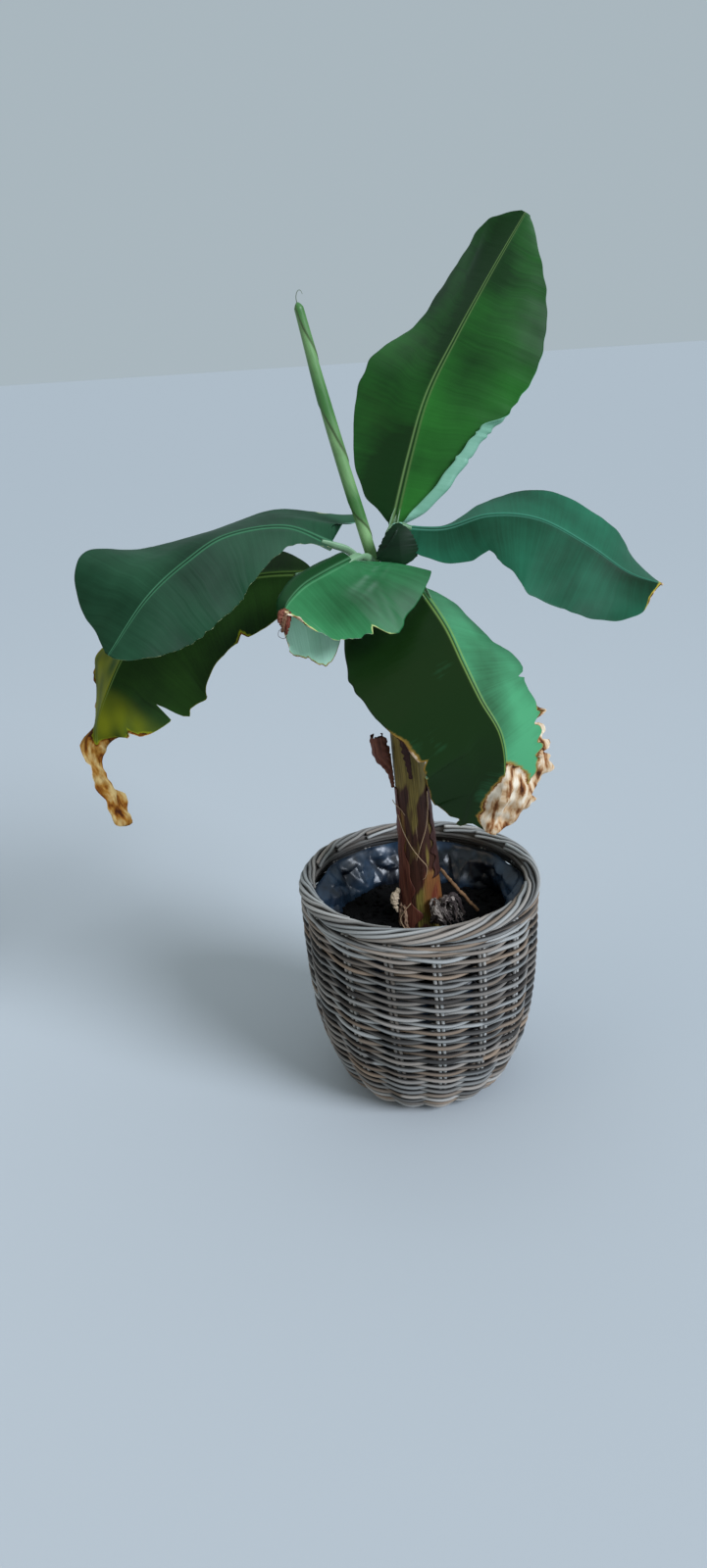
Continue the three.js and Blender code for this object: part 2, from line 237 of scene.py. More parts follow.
class Batch:
    """Grids and rods gathered into one mesh, with grain coordinates and tone."""

    def __init__(self) -> None:
        """Starts with nothing in it."""
        self.points: list[Array] = []
        self.tones: list[Array] = []
        self.faces: list[list[int]] = []
        self.grain: list[Array] = []
        self.slots: list[int] = []
        self.count = 0

    def grid(
        self, points: Array, grain: Array, tone: Array | Colour, *, around: bool = False,
        closed: bool = False, ends: bool = False, slot: int = 0,
    ) -> None:
        """Adds a grid of quads.

        Args:
            points: (rows, columns, 3) places.
            grain: (rows + closed, columns + around, 2) coordinates in metres.
            tone: RGBA for the whole grid, or one per point.
            around: whether the last column joins the first.
            closed: whether the last row joins the first.
            ends: whether the first and last rows are filled.
            slot: the material slot of its faces.
        """
        rows, columns = points.shape[:2]
        index = np.arange(rows * columns).reshape(rows, columns) + self.count
        if ends:
            self.faces += [index[0, ::-1].tolist(), index[-1].tolist()]
            self.grain += [grain[0, :columns][::-1], grain[-1, :columns]]
            self.slots += [slot, slot]
        if around:
            index = np.concatenate([index, index[:, :1]], axis=1)
        if closed:
            index = np.concatenate([index, index[:1]], axis=0)
        first, second = slice(0, -1), slice(1, None)
        corners = ((first, first), (first, second), (second, second), (second, first))
        quads = np.stack([index[c] for c in corners], -1).reshape(-1, 4)
        self.faces += quads.tolist()
        self.grain += [np.stack([grain[c] for c in corners], 2).reshape(-1, 2)]
        self.slots += [slot] * len(quads)
        self.points.append(points.reshape(-1, 3))
        self.tones.append(np.broadcast_to(np.asarray(tone, float), (rows, columns, 4)).reshape(-1, 4))
        self.count += rows * columns

    def rod(
        self, path: Array, radius: Array | float, tone: Array | Colour, guide: Array = FRONT, *,
        sides: int = 8, closed: bool = False, slot: int = 0, painted_crevice_shade: float = 0.0,
    ) -> None:
        """Adds a round rod along a path.

        Args:
            path: (n, 3) centre line.
            radius: one radius, or one per point of the path.
            tone: RGBA for the rod, or one per point of the path as (n, 1, 4).
            guide: the direction, or one per point, that the section's first corner faces.
            sides: corners of the section.
            closed: whether the rod is a ring.
            slot: the material slot of its faces.
            painted_crevice_shade: painted shade, how far its brightness falls from its outer side to its
                inner one.
        """
        radius = np.broadcast_to(np.asarray(radius, float), (len(path),))
        angle = circle(sides)
        points = path[:, None] + radius[:, None, None] * about(path, guide, angle, closed)
        along = distances(np.vstack([path, path[:1]]))[: len(path) + closed]
        grain = paired(along[:, None], np.append(angle, TURN) * radius.mean())
        tone = np.array(np.broadcast_to(np.asarray(tone, float), (len(path), sides, 4)))
        # Painted shade: the rod darkens from its outer side to its inner one, where it presses on its
        # neighbours.
        tone[..., 0] -= painted_crevice_shade * ((1 - np.cos(angle)) / 2) ** 0.7
        self.grid(points, grain, tone, around=True, closed=closed, ends=not closed, slot=slot)

    def build(self, name: str, *materials: Material) -> Piece:
        """Makes the mesh object, smooth, with its grain map and tone.

        Args:
            name: the object's name.
            *materials: one for each material slot.

        Returns:
            The new object, at the origin.
        """
        mesh = bpy.data.meshes.new(name)
        mesh.from_pydata(np.concatenate(self.points).tolist(), [], self.faces)
        mesh.polygons.foreach_set("material_index", self.slots)
        grain = mesh.uv_layers.new(name="grain")
        grain.data.foreach_set("uv", np.concatenate(self.grain).astype(np.float32).ravel())
        tone = mesh.attributes.new("tone", "FLOAT_COLOR", "POINT")
        tone.data.foreach_set("color", np.concatenate(self.tones).astype(np.float32).ravel())
        return placed(mesh, *materials)


def placed(mesh: bpy.types.Mesh, *materials: Material) -> Piece:
    """Gives a mesh its materials and smooth faces, and puts it in the scene at the origin.

    Args:
        mesh: the mesh.
        *materials: one for each material slot.

    Returns:
        The new object.
    """
    for material in materials:
        mesh.materials.append(material)
    mesh.shade_smooth()
    mesh.update()
    piece = bpy.data.objects.new(mesh.name, mesh)
    bpy.context.scene.collection.objects.link(piece)
    return piece


def ready(*pieces: Piece) -> None:
    """Selects pieces and nothing else, and makes the first the active one.

    Args:
        *pieces: mesh objects.
    """
    bpy.ops.object.select_all(action="DESELECT")
    for piece in pieces:
        piece.select_set(True)
    bpy.context.view_layer.objects.active = pieces[0]


def join(piece: Piece, other: Piece) -> None:
    """Joins another piece into a piece."""
    ready(piece, other)
    bpy.ops.object.join()


def apply_modifier(piece: Piece, kind: str, **settings: object) -> None:
    """Adds one modifier to a piece and applies it.

    Args:
        piece: the mesh object.
        kind: the modifier's type name.
        **settings: its settings.
    """
    ready(piece)
    modifier = piece.modifiers.new(kind.title(), kind)
    for name, value in settings.items():
        setattr(modifier, name, value)
    bpy.ops.object.modifier_apply(modifier=modifier.name)


def turned_profile(name: str, outline: list[tuple[float, float]], segments: int, material: Material) -> Piece:
    """Draws a circle and extrudes it ring by ring along an outline, as by hand.

    Args:
        name: the piece's name.
        outline: (radius, height) of each ring in mm, outwards-facing when it runs upwards.
        segments: corners of the circle.
        material: the piece's finish.

    Returns:
        The mesh object, at the origin.
    """
    bpy.ops.object.select_all(action="DESELECT")
    rings = [(radius * MM, height * MM) for radius, height in outline]
    radius, height = rings[0]
    bpy.ops.mesh.primitive_circle_add(vertices=segments, radius=radius, location=(0, 0, height))
    piece = bpy.context.object
    piece.name = piece.data.name = name
    bpy.ops.object.transform_apply(location=True, rotation=True, scale=True)
    bpy.ops.object.mode_set(mode="EDIT")
    bpy.ops.mesh.select_mode(type="VERT")
    bpy.ops.mesh.select_all(action="SELECT")
    for next_radius, next_height in rings[1:]:
        bpy.ops.mesh.extrude_region_move(TRANSFORM_OT_translate={"value": (0, 0, next_height - height)})
        ratio = next_radius / radius
        bpy.ops.transform.resize(value=(ratio, ratio, 1), center_override=(0, 0, next_height))
        radius, height = next_radius, next_height
    bpy.ops.mesh.select_all(action="SELECT")
    bpy.ops.mesh.remove_doubles(threshold=1e-5)
    bpy.ops.mesh.fill_holes(sides=0)
    bpy.ops.mesh.normals_make_consistent(inside=False)
    bpy.ops.object.mode_set(mode="OBJECT")
    piece.data.materials.append(material)
    piece.data.shade_smooth()
    return piece


def vertex_array(piece: Piece) -> Array:
    """Reads where a mesh's vertices are.

    Args:
        piece: the mesh object.

    Returns:
        (n, 3) places.
    """
    places = np.zeros(len(piece.data.vertices) * 3)
    piece.data.vertices.foreach_get("co", places)
    return places.reshape(-1, 3)


def move_vertices(piece: Piece, places: Array) -> None:
    """Puts a mesh's vertices at new places."""
    piece.data.vertices.foreach_set("co", places.ravel())
    piece.data.update()


def hand_over(piece: Piece, slot: str, *nodes: str) -> None:
    """Rides a finished piece on the plant, hides the frame's nodes that it stands for and reports it.

    Args:
        piece: the finished mesh object, at the origin.
        slot: not used.
        *nodes: the frame's nodes that it stands for.
    """
    if nodes:
        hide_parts(*nodes)
    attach(piece, "root")
    stands_for = ", ".join(nodes) or "nothing"
    LOG.info("%s: %d faces, stands for %s", piece.name, len(piece.data.polygons), stands_for)


# Finishes, each named after its real material.


class Nodes:
    """One material's node tree, with a short method for each step that the finishes share.

    Attributes:
        material: the material that it makes.
        tree: its node tree.
    """

    def __init__(self, name: str) -> None:
        """Makes the material and empties its tree.

        Args:
            name: the material's name.
        """
        self.material = bpy.data.materials.new(name)
        self.material.use_nodes = True
        self.tree = self.material.node_tree
        self.tree.nodes.clear()

    def add(self, kind: str, inputs: dict | None = None, **settings: object) -> bpy.types.NodeOutputs:
        """Adds a shader node.

        Args:
            kind: its type name after "ShaderNode".
            inputs: its values and links.
            **settings: its attributes.

        Returns:
            The node's outputs.
        """
        return add_node(self.tree, "ShaderNode" + kind, settings, inputs).outputs

    @cached_property
    def place(self) -> Socket:
        """Object coordinates, in metres."""
        return self.add("TexCoord")[3]

    @cached_property
    def grain(self) -> Socket:
        """Coordinates with the piece's growth and across it, in metres."""
        return self.add("UVMap", uv_map="grain")[0]

    @cached_property
    def tone(self) -> tuple[Socket, ...]:
        """The points' tone.

        Returns:
            Its red, green, blue and alpha, and its colour as a vector.
        """
        whole = self.add("Attribute", attribute_name="tone")
        split = self.add("SeparateColor", {0: whole[0]})
        return split[0], split[1], split[2], whole[3], whole[1]

    def noise(self, place: Socket, scale: float | tuple[float, float], detail: float) -> Socket:
        """Cloudy noise.

        Args:
            place: coordinates.
            scale: clouds per metre, or along and across the grain.
            detail: how many finer layers it has.

        Returns:
            Its value, about 0.5 on average.
        """
        if isinstance(scale, tuple):
            place = self.add("Mapping", {0: place, 3: (*scale, 1)})[0]
            scale = 1.0
        return self.add("TexNoise", {"Vector": place, "Scale": scale, "Detail": detail})[0]

    def graded(
        self, value: Socket, low: float, high: float, to_low: float = 0.0, to_high: float = 1.0,
        clamp: bool = True,
    ) -> Socket:
        """Takes a value from the range low to high to another range, 0 to 1 if none is given."""
        return self.add("MapRange", {0: value, 1: low, 2: high, 3: to_low, 4: to_high}, clamp=clamp)[0]

    def sum(self, value: Socket, factor: float, other: Socket) -> Socket:
        """A value times a factor, added to another value."""
        return self.add("Math", {0: value, 1: factor, 2: other}, operation="MULTIPLY_ADD")[0]

    def mix(
        self, share: Socket | float, first: Socket | str, second: Socket | str, blend: str = "MIX"
    ) -> Socket:
        """Blends two colours with the one node that does it.

        Args:
            share: share of the second colour.
            first: a hex colour or a socket.
            second: a hex colour or a socket.
            blend: how they blend.

        Returns:
            The blended colour.
        """
        first, second = (linear(c) if isinstance(c, str) else c for c in (first, second))
        inputs = {0: share, 6: first, 7: second}
        return self.add("Mix", inputs, data_type="RGBA", blend_type=blend, clamp_factor=True)[2]

    def finish(
        self, base: Socket, relief: tuple[Socket, float, float], roughness: Socket | float, ior: float = 1.5,
        level: float = 0.5,
    ) -> Material:
        """Adds the relief, the shader and the output.

        Args:
            base: its colour.
            relief: height, strength and depth in metres of its bumps.
            roughness: how far its reflections spread.
            ior: its index of refraction.
            level: strength of its reflection, 0.5 where only the index tells.

        Returns:
            The finished material.
        """
        height, strength, depth = relief
        normal = self.add("Bump", {"Height": height, "Strength": strength, "Distance": depth})[0]
        shader = self.add("BsdfPrincipled", {
            "Base Color": base, "Roughness": roughness, "IOR": ior, "Specular IOR Level": level,
            "Normal": normal,
        })
        self.add("OutputMaterial", {"Surface": shader[0]})
        return self.material


@dataclass(frozen=True)
class WeatheredRattan:
    """Peeled kubu rattan, greyed outdoors: matt, streaked lengthwise, grey-blue to warm brown.

    Attributes:
        name: the material's name.
        grey: colour of the weathered skin.
        brown: colour of the rods that kept their warmth.
        dark: colour of the streaks and pores.
    """

    name: str = "weathered_kubu_rattan"
    grey: str = "#abaca9"
    brown: str = "#86725f"
    dark: str = "#3a302a"

    def material(self) -> Material:
        """Builds the finish from the rods' grain map and tone.

        The tone's red is lightness, with painted shade on each rod's inner side, and its green
        warmth. All of it shifts the rod's own grain.

        Returns:
            The finished material.
        """
        nodes = Nodes(self.name)
        light, warm, _, _, own = nodes.tone
        grain = nodes.add("VectorMath", {0: nodes.grain, 1: own}, operation="ADD")[0]
        # Streaks about 0.8 mm across and 25 mm long; finer fibres wouldn't show.
        streak = nodes.noise(grain, (40, 1200), 4)
        patch = nodes.noise(grain, (30, 60), 3)
        warmth = nodes.graded(nodes.sum(patch, 0.9, warm), 0.45, 1.15)
        base = nodes.mix(warmth, self.grey, self.brown)
        # Lightness holds each cane's own tone and the painted shade on its inner side.
        shade = nodes.graded(light, 0, 1, 0.2, 1.36, clamp=False)
        shade = nodes.add("Clamp", {0: shade, 1: 0.05, 2: 1.3})[0]
        base = nodes.mix(1.0, base, shade, "MULTIPLY")
        base = nodes.mix(nodes.graded(streak, 0.55, 0.72, 0, 0.85), base, self.dark)
        return nodes.finish(base, (streak, 0.5, 0.0006), 0.68)


@dataclass(frozen=True)
class BlackFilm:
    """Blown polyethylene film, black with a blue cast: thin, slick, full of small crinkles.

    Attributes:
        name: the material's name.
        body: its own colour.
        bloom_and_sheen: colour of the painted bluish reflection that lies on it in clouds.
    """

    name: str = "black_polyethylene_film"
    body: str = "#0a0e15"
    bloom_and_sheen: str = "#33495f"

    def material(self) -> Material:
        """Builds the film from Object coordinates.

        Returns:
            The finished material.
        """
        nodes = Nodes(self.name)
        # A net of crinkles 12 mm across over clouds of painted reflection 60 mm across.
        net = {"Vector": nodes.place, "Scale": 85.0}
        crinkle = nodes.add("TexVoronoi", net, feature="DISTANCE_TO_EDGE")[0]
        cloud = nodes.noise(nodes.place, 16.0, 5)
        # Painted reflection: pale blue clouds over the black film.
        base = nodes.mix(nodes.graded(cloud, 0.42, 0.7), self.body, self.bloom_and_sheen)
        return nodes.finish(base, (nodes.sum(crinkle, 0.5, cloud), 0.16, 0.002), 0.33)


@dataclass(frozen=True)
class PottingSoil:
    """Damp peat and bark: crumbly, with no shine, its dark brown deepened to nearly black as painted shade.

    Attributes:
        name: the material's name.
        peat: colour between the crumbs.
        crumb: colour of the crumbs.
    """

    name: str = "damp_potting_soil"
    peat: str = "#040303"
    crumb: str = "#120d0a"

    def material(self) -> Material:
        """Builds the soil from Object coordinates.

        Returns:
            The finished material.
        """
        nodes = Nodes(self.name)
        # Crumbs about 3 mm across.
        grit = nodes.noise(nodes.place, 330.0, 6)
        # Both colours are darker than the soil's own, as painted shade under the rim and leaves.
        base = nodes.mix(nodes.graded(grit, 0.5, 0.75), self.peat, self.crumb)
        return nodes.finish(base, (grit, 0.9, 0.003), 0.95, level=0.15)


@dataclass(frozen=True)
class LeafSkin:
    """One face of a banana leaf: waxed cuticle over close parallel veins, drying at its edges.

    Attributes:
        name: the material's name.
        deep: colour between the veins.
        light: colour along the veins.
        rib: colour of the midrib.
        roughness: how far the wax has dulled.
        bloom_and_sheen: share of the pale wax bloom over the face.
        turning: colour of tissue that is about to die.
        wax: strength of the cuticle's reflection.
        relief: height of the veins, in metres.
        husk: colours of the dead tissue, from its creases to its faces.
        follows: how far it takes up the blade's light and dark, partly painted light and shade.
    """

    name: str
    deep: str
    light: str
    rib: str = "#7fa05c"
    roughness: float = 0.38
    bloom_and_sheen: float = 0.0
    turning: str = "#b5a238"
    wax: float = 0.3
    relief: float = 0.0004
    husk: tuple[str, str, str, str] = ("#40200f", "#8a5a34", "#bf9e78", "#e0d2bc")
    follows: float = 1.0

    def material(self) -> Material:
        """Builds the face from the blade's vein map and its tissue tone.

        The tone's red is age, 0.5 at the edge of dead tissue; green is yellowing; blue is the
        midrib; alpha lightens or deepens the green, partly as painted light and shade.

        Returns:
            The finished material.
        """
        nodes = Nodes(self.name)
        age, yellowing, midrib, lightness, _ = nodes.tone
        # Veins about 3 mm apart along the rib and unbroken across the blade, with broader bands.
        veins = nodes.noise(nodes.grain, (330, 7), 2)
        bands = nodes.noise(nodes.grain, (75, 4), 3)
        mottle = nodes.noise(nodes.place, 14.0, 4)
        # The tone's alpha brings the blade's own tone and its painted light and shade.
        level = nodes.add("Math", {0: lightness, 1: self.follows}, operation="MULTIPLY")[0]
        for noise, weight in ((veins, 0.25), (bands, 0.25), (mottle, 0.7)):
            level = nodes.sum(noise, weight, level)
        # The three noises add up to about 0.6 on average.
        base = nodes.mix(nodes.graded(level, 0.2, 1.1), self.deep, self.light)
        if self.bloom_and_sheen:
            base = nodes.mix(nodes.graded(mottle, 0.35, 0.65, 0, self.bloom_and_sheen), base, "#8fb0a6")
        base = nodes.mix(midrib, base, self.rib)
        # Dying tissue: ragged along the veins, yellow first, then cream and brown.
        aged = nodes.sum(nodes.noise(nodes.grain, (170, 60), 4), 0.24, age)
        yellow = nodes.graded(aged, 0.5, 0.6)
        turning = nodes.add("Math", {0: yellow, 1: yellowing}, operation="MAXIMUM", use_clamp=True)[0]
        base = nodes.mix(turning, base, self.turning)
        dead = nodes.graded(aged, 0.6, 0.64)
        husk = nodes.noise(nodes.grain, (34, 80), 6)
        rust = nodes.graded(aged, 0.64, 0.72, -0.12, 0.02)
        shade = nodes.add("Math", {0: husk, 1: rust}, operation="ADD")[0]
        stops = [(position, linear(colour)) for position, colour in zip((0.36, 0.44, 0.5, 0.62), self.husk)]
        base = nodes.mix(dead, base, nodes.add("ValToRGB", {0: shade}, stops=stops)[0])
        gloss = nodes.graded(dead, 0, 1, self.roughness, 0.85)
        return nodes.finish(base, (nodes.sum(bands, 1.6, veins), 0.3, self.relief), gloss, 1.45, self.wax)


@dataclass(frozen=True)
class WaxyStalk:
    """Petiole and rolled leaf: smooth, pale green under a dull wax, fine lines along it.

    Attributes:
        name: the material's name.
        green: colour where the tone's red is 0.
        pale: colour where the tone's red is 1.
        edge: colour where the tone's green is 1, such as a wing or a seam.
    """

    name: str
    green: str = "#3f6a30"
    pale: str = "#7d9f7c"
    edge: str = "#5c4a30"

    def material(self) -> Material:
        """Builds the stalk from its grain map and tone.

        Returns:
            The finished material.
        """
        nodes = Nodes(self.name)
        paleness, wing = nodes.tone[:2]
        # Fibre lines about 1 mm apart, running with the stalk.
        fibre = nodes.noise(nodes.grain, (22, 900), 3)
        share = nodes.graded(nodes.sum(fibre, 0.6, paleness), 0.2, 1.4)
        base = nodes.mix(share, self.green, self.pale)
        cloud = nodes.noise(nodes.place, 26.0, 4)
        base = nodes.mix(nodes.graded(cloud, 0.55, 0.72, 0, 0.35), base, self.edge)
        base = nodes.mix(wing, base, self.edge)
        return nodes.finish(base, (fibre, 0.3, 0.0004), 0.42, 1.45)


@dataclass(frozen=True)
class Sheath:
    """Pseudostem skin: olive where it lives, maroon-brown and papery where a sheath has died.

    Attributes:
        name: the material's name.
        living: colour where the tone's red is 0.
        dead: colour where the tone's red is 1.
        rust: colour where the tone's green is 1.
        fresh: colour where the tone's blue is 1.
        roughness: how dull the skin is.
    """

    name: str
    living: str = "#71602f"
    dead: str = "#3c2219"
    rust: str = "#743420"
    fresh: str = "#66602a"
    roughness: float = 0.55

    def material(self) -> Material:
        """Builds the skin from its grain map and tone.

        Returns:
            The finished material.
        """
        nodes = Nodes(self.name)
        deadness, rusting, freshness = nodes.tone[:3]
        # Strands 1.5 mm wide and 55 mm long, with blotches 6 mm wide and 45 mm long.
        fibre = nodes.noise(nodes.grain, (18, 650), 5)
        blotch = nodes.noise(nodes.grain, (22, 170), 5)
        base = nodes.mix(freshness, self.living, self.fresh)
        base = nodes.mix(nodes.graded(nodes.sum(blotch, 0.7, deadness), 0.68, 1.0), base, self.dead)
        base = nodes.mix(rusting, base, self.rust)
        base = nodes.mix(1.0, base, nodes.graded(fibre, 0.3, 0.72, 0.42, 1.6), "MULTIPLY")
        base = nodes.mix(nodes.graded(fibre, 0.66, 0.74, 0, 0.6), base, "#a08a6c")
        return nodes.finish(base, (fibre, 0.6, 0.001), self.roughness, level=0.22)


# The basket with its film and soil.


@dataclass
class Basket:
    """Round basket of paired weave on double stakes, with a rolled border. Sizes are in mm.

    Attributes:
        wall: (outer radius, height) up the wall.
        stakes: double stakes round the basket.
        rows: rows of pairing up the wall.
        first_row: distance of the first row from the wall's foot.
        row_pitch: distance from row to row along the wall.
        weaver: radius of a weaving rod.
        stake: radius of a stake rod.
        stake_gap: half the distance between the two rods of a stake.
        lean: degrees by which the stakes have turned, at the foot and at the rim.
        swing: how far a weaver swings in past the stakes.
        cross: how far two weavers part where they cross.
        wale: distances from the wall's foot of the two rows under the border.
        border_radius: radius of the border's middle.
        border_middle: height of the border's middle.
        border_reach: distance of its rods from that middle.
        border_rod: radius of a border rod.
        border_span: stakes that a border rod passes before it ends.
        steps: points on a weaver from stake to stake.
        rng: draws the rods' girths, tones and joints.
    """

    wall: tuple[tuple[float, float], ...] = (
        (115, 0), (136, 14), (155, 42), (174, 90), (186, 145), (193, 205), (197, 275), (198, 340), (198, 366),
    )
    stakes: int = 16
    rows: int = 24
    first_row: float = 8
    row_pitch: float = 15.4
    weaver: float = 4.0
    stake: float = 3.1
    stake_gap: float = 3.9
    lean: tuple[float, float] = (6.4, 2.8)
    swing: float = 5.0
    cross: float = 3.4
    wale: tuple[float, float] = (374.5, 382.5)
    border_radius: float = 186
    border_middle: float = 380
    border_reach: float = 10.6
    border_rod: float = 3.3
    border_span: float = 3.08
    steps: int = 12
    rng: np.random.Generator = field(default_factory=lambda: np.random.default_rng(23))

    def radius_at(self, z: float) -> float:
        """Outer radius of the wall at a height, both in mm."""
        radii, heights = np.array(self.wall, float).T
        return float(np.interp(z, heights, radii))

    def wall_at(self, distance: Array) -> tuple[Array, Array]:
        """Place and outward direction on the wall at distances from its foot, in mm.

        Args:
            distance: way up the wall, of any shape.

        Returns:
            Two arrays with a last axis of (radius, height).
        """
        knots = np.array(self.wall, float)
        way = distances(knots)
        place, ahead, behind = (
            np.stack([np.interp(distance + off, way, column) for column in knots.T], -1) for off in (0, 8, -8)
        )
        along = unit(ahead - behind)
        return place, np.stack([along[..., 1], -along[..., 0]], -1)

    def turn_at(self, z: Array) -> Array:
        """Angle in radians by which the stakes have turned at heights in mm."""
        return np.radians(np.interp(z, (0, self.wall[-1][1]), self.lean))

    def drawn(self, middle: float, spread: float) -> float:
        """A random share from 0 to 1 about a middle."""
        return float(np.clip(self.rng.normal(middle, spread), 0, 1))

    def rod_tone(self, count: int, bright: float) -> Array:
        """Tone along a rod that changes where one cane ends and the next begins.

        Args:
            count: points along the rod.
            bright: middle of the brightness.

        Returns:
            (count, 1, 4) tones.
        """
        first, second = np.sort(self.rng.integers(0, count, 2))
        tones = np.zeros((count, 1, 4))
        for part in (slice(0, first), slice(first, second), slice(second, None)):
            tones[part] = (self.drawn(bright, 0.24), self.drawn(0.34, 0.3), self.rng.uniform(), 1)
        return tones

    def weaver_ring(self, batch: Batch, rise: Array, depth: Array, girth: float, bright: float = 0.5) -> None:
        """Adds one weaving rod as a ring in the wall.

        Args:
            batch: where it goes.
            rise: distances of its points up the wall, in mm.
            depth: how far they lie inside the wall's outer face, in mm.
            girth: the rod's radius in mm. Its points stay that far above the floor.
            bright: middle of its brightness.
        """
        angle = circle(len(rise))
        place, out = self.wall_at(rise)
        place = place - out * depth[:, None]
        path = polar(place[:, 0], angle, np.maximum(place[:, 1], girth + 0.2)) * MM
        tone = self.rod_tone(len(rise), bright)
        # Each weaver gets painted shade on its inner side, between the rods.
        batch.rod(path, girth * MM, tone, polar(1, angle, 0), closed=True, painted_crevice_shade=1.4)

    def weave_walls(self, batch: Batch) -> None:
        """Adds the paired weavers, row by row, and the wale under the border.

        Args:
            batch: where they go.
        """
        angle = circle(self.stakes * self.steps)
        around = paired(np.cos(angle), np.sin(angle))
        for row in range(self.rows):
            level = self.first_row + self.row_pitch * row
            lean = self.turn_at(self.wall_at(np.array(level))[0][1])
            wander = Ripple(0.9, 100 + row, 5).at(around) * 0.7
            for strand in range(2):
                phase = self.stakes / 2 * (angle - lean) + strand * math.pi
                slack = Ripple(0.5, 300 + 2 * row + strand, 5).at(around) * 0.45
                depth = self.weaver + self.swing * (1 - np.cos(phase)) + np.abs(slack)
                girth = self.weaver * self.rng.uniform(0.84, 1.04)
                self.weaver_ring(batch, level - self.cross * np.sin(phase) + wander, depth, girth)
        for number, level in enumerate(self.wale):
            for strand in range(3):
                phase = self.stakes / 3 * angle + (strand + 0.5 * number) * TURN / 3
                depth = 3.9 + 3.2 * (1 - np.cos(phase))
                self.weaver_ring(batch, level - 2.2 * np.sin(phase), depth, 3.7, 0.6)

    def raise_stakes(self, batch: Batch) -> None:
        """Adds the double stakes, from under the base up into the border.

        Args:
            batch: where they go.
        """
        place, out = self.wall_at(np.linspace(4, 388, 46))
        face = place - out * (self.weaver + self.swing)
        z = np.concatenate([[7.5, 7.5, 7.0], np.maximum(face[:, 1], 6.8)])
        radius = np.concatenate([[30, 62, 96], face[:, 0]])
        for middle in circle(self.stakes):
            for side in (-1, 1):
                turn = middle + self.turn_at(z) + side * self.stake_gap / np.maximum(radius, 60)
                tone = (self.rng.uniform(0.3, 0.85), self.rng.uniform(0, 0.45), self.rng.uniform(), 1.0)
                beside = polar(1, turn + math.pi / 2, 0)
                batch.rod(polar(radius, turn, z) * MM, self.stake * MM, tone, beside, sides=7)

    def weave_base(self, batch: Batch) -> None:
        """Adds the woven bottom, whose lowest rods touch the floor.

        Args:
            batch: where it goes.
        """
        angle = circle(self.stakes * 8)
        girth, rise = 3.8, 3.9
        for row, radius in enumerate(np.arange(24, 112, 8.2)):
            for strand in range(2):
                phase = self.stakes / 2 * angle + (row + strand) * math.pi
                path = polar(radius, angle, 2 * rise + rise * np.cos(phase)) * MM
                batch.rod(path, girth * MM, self.rod_tone(len(angle), 0.35), UP, sides=6, closed=True)
        hub = np.outer([3.0, 6.0, 11.0], UP) * MM
        batch.rod(hub, 27 * MM, (0.4, 0.5, 0.2, 1), np.array([1.0, 0, 0]), sides=32)

    def wall_piece(self, finish: Material) -> Piece:
        """Builds the woven wall and base as one piece.

        Args:
            finish: the rods' finish.

        Returns:
            The piece, at the origin.
        """
        batch = Batch()
        self.raise_stakes(batch)
        self.weave_walls(batch)
        self.weave_base(batch)
        return batch.build("woven_basket", finish)

    def border_piece(self, finish: Material) -> Piece:
        """Builds the border: pairs of stake ends roll over the rim and are cut at its inner edge.

        Args:
            finish: the rods' finish.

        Returns:
            The piece, at the origin.
        """
        batch = Batch()
        s = np.linspace(0, 1, 54)
        passed = self.border_span * s
        roll = np.interp(passed, (0, 1, 2, 2.35, self.border_span), (-70, 2, 77, 120, 151))
        sink = 5.0 * (1 - smooth(0, 0.14, s)) - 0.9 * smooth(0.9, 1, s)
        for middle in circle(self.stakes):
            start = middle + math.radians(self.lean[1]) + 0.012 * self.rng.normal()
            theta = start + passed * TURN / self.stakes
            for side in (-1, 1):
                psi = np.radians(roll + side * 18)
                reach = self.border_reach - sink + 0.25 * self.rng.normal()
                path = polar(self.border_radius + reach * np.cos(psi), theta,
                             self.border_middle + reach * np.sin(psi)) * MM
                tone = (self.drawn(0.68, 0.2), self.drawn(0.2, 0.22), self.rng.uniform(), 1.0)
                girth = self.border_rod * self.rng.uniform(0.9, 1.03) * MM
                # Each border rod gets painted shade on its side that faces into the roll.
                batch.rod(path, girth, tone, polar(np.cos(psi), theta, np.sin(psi)), sides=10, painted_crevice_shade=0.9)
        # Core rods fill the roll and close its inner side; their low lightness is painted shade inside the
        # roll.
        angle = circle(96)
        for radius, z, girth in ((186, 380, 7.0), (177.6, 375, 3.3), (180.4, 369.8, 3.3), (189, 370.2, 3.3)):
            batch.rod(polar(radius, angle, z) * MM, girth * MM, (0.12, 0.4, 0.3, 1), polar(1, angle, 0),
                      sides=10, closed=True)
        return batch.build("rolled_border", finish)


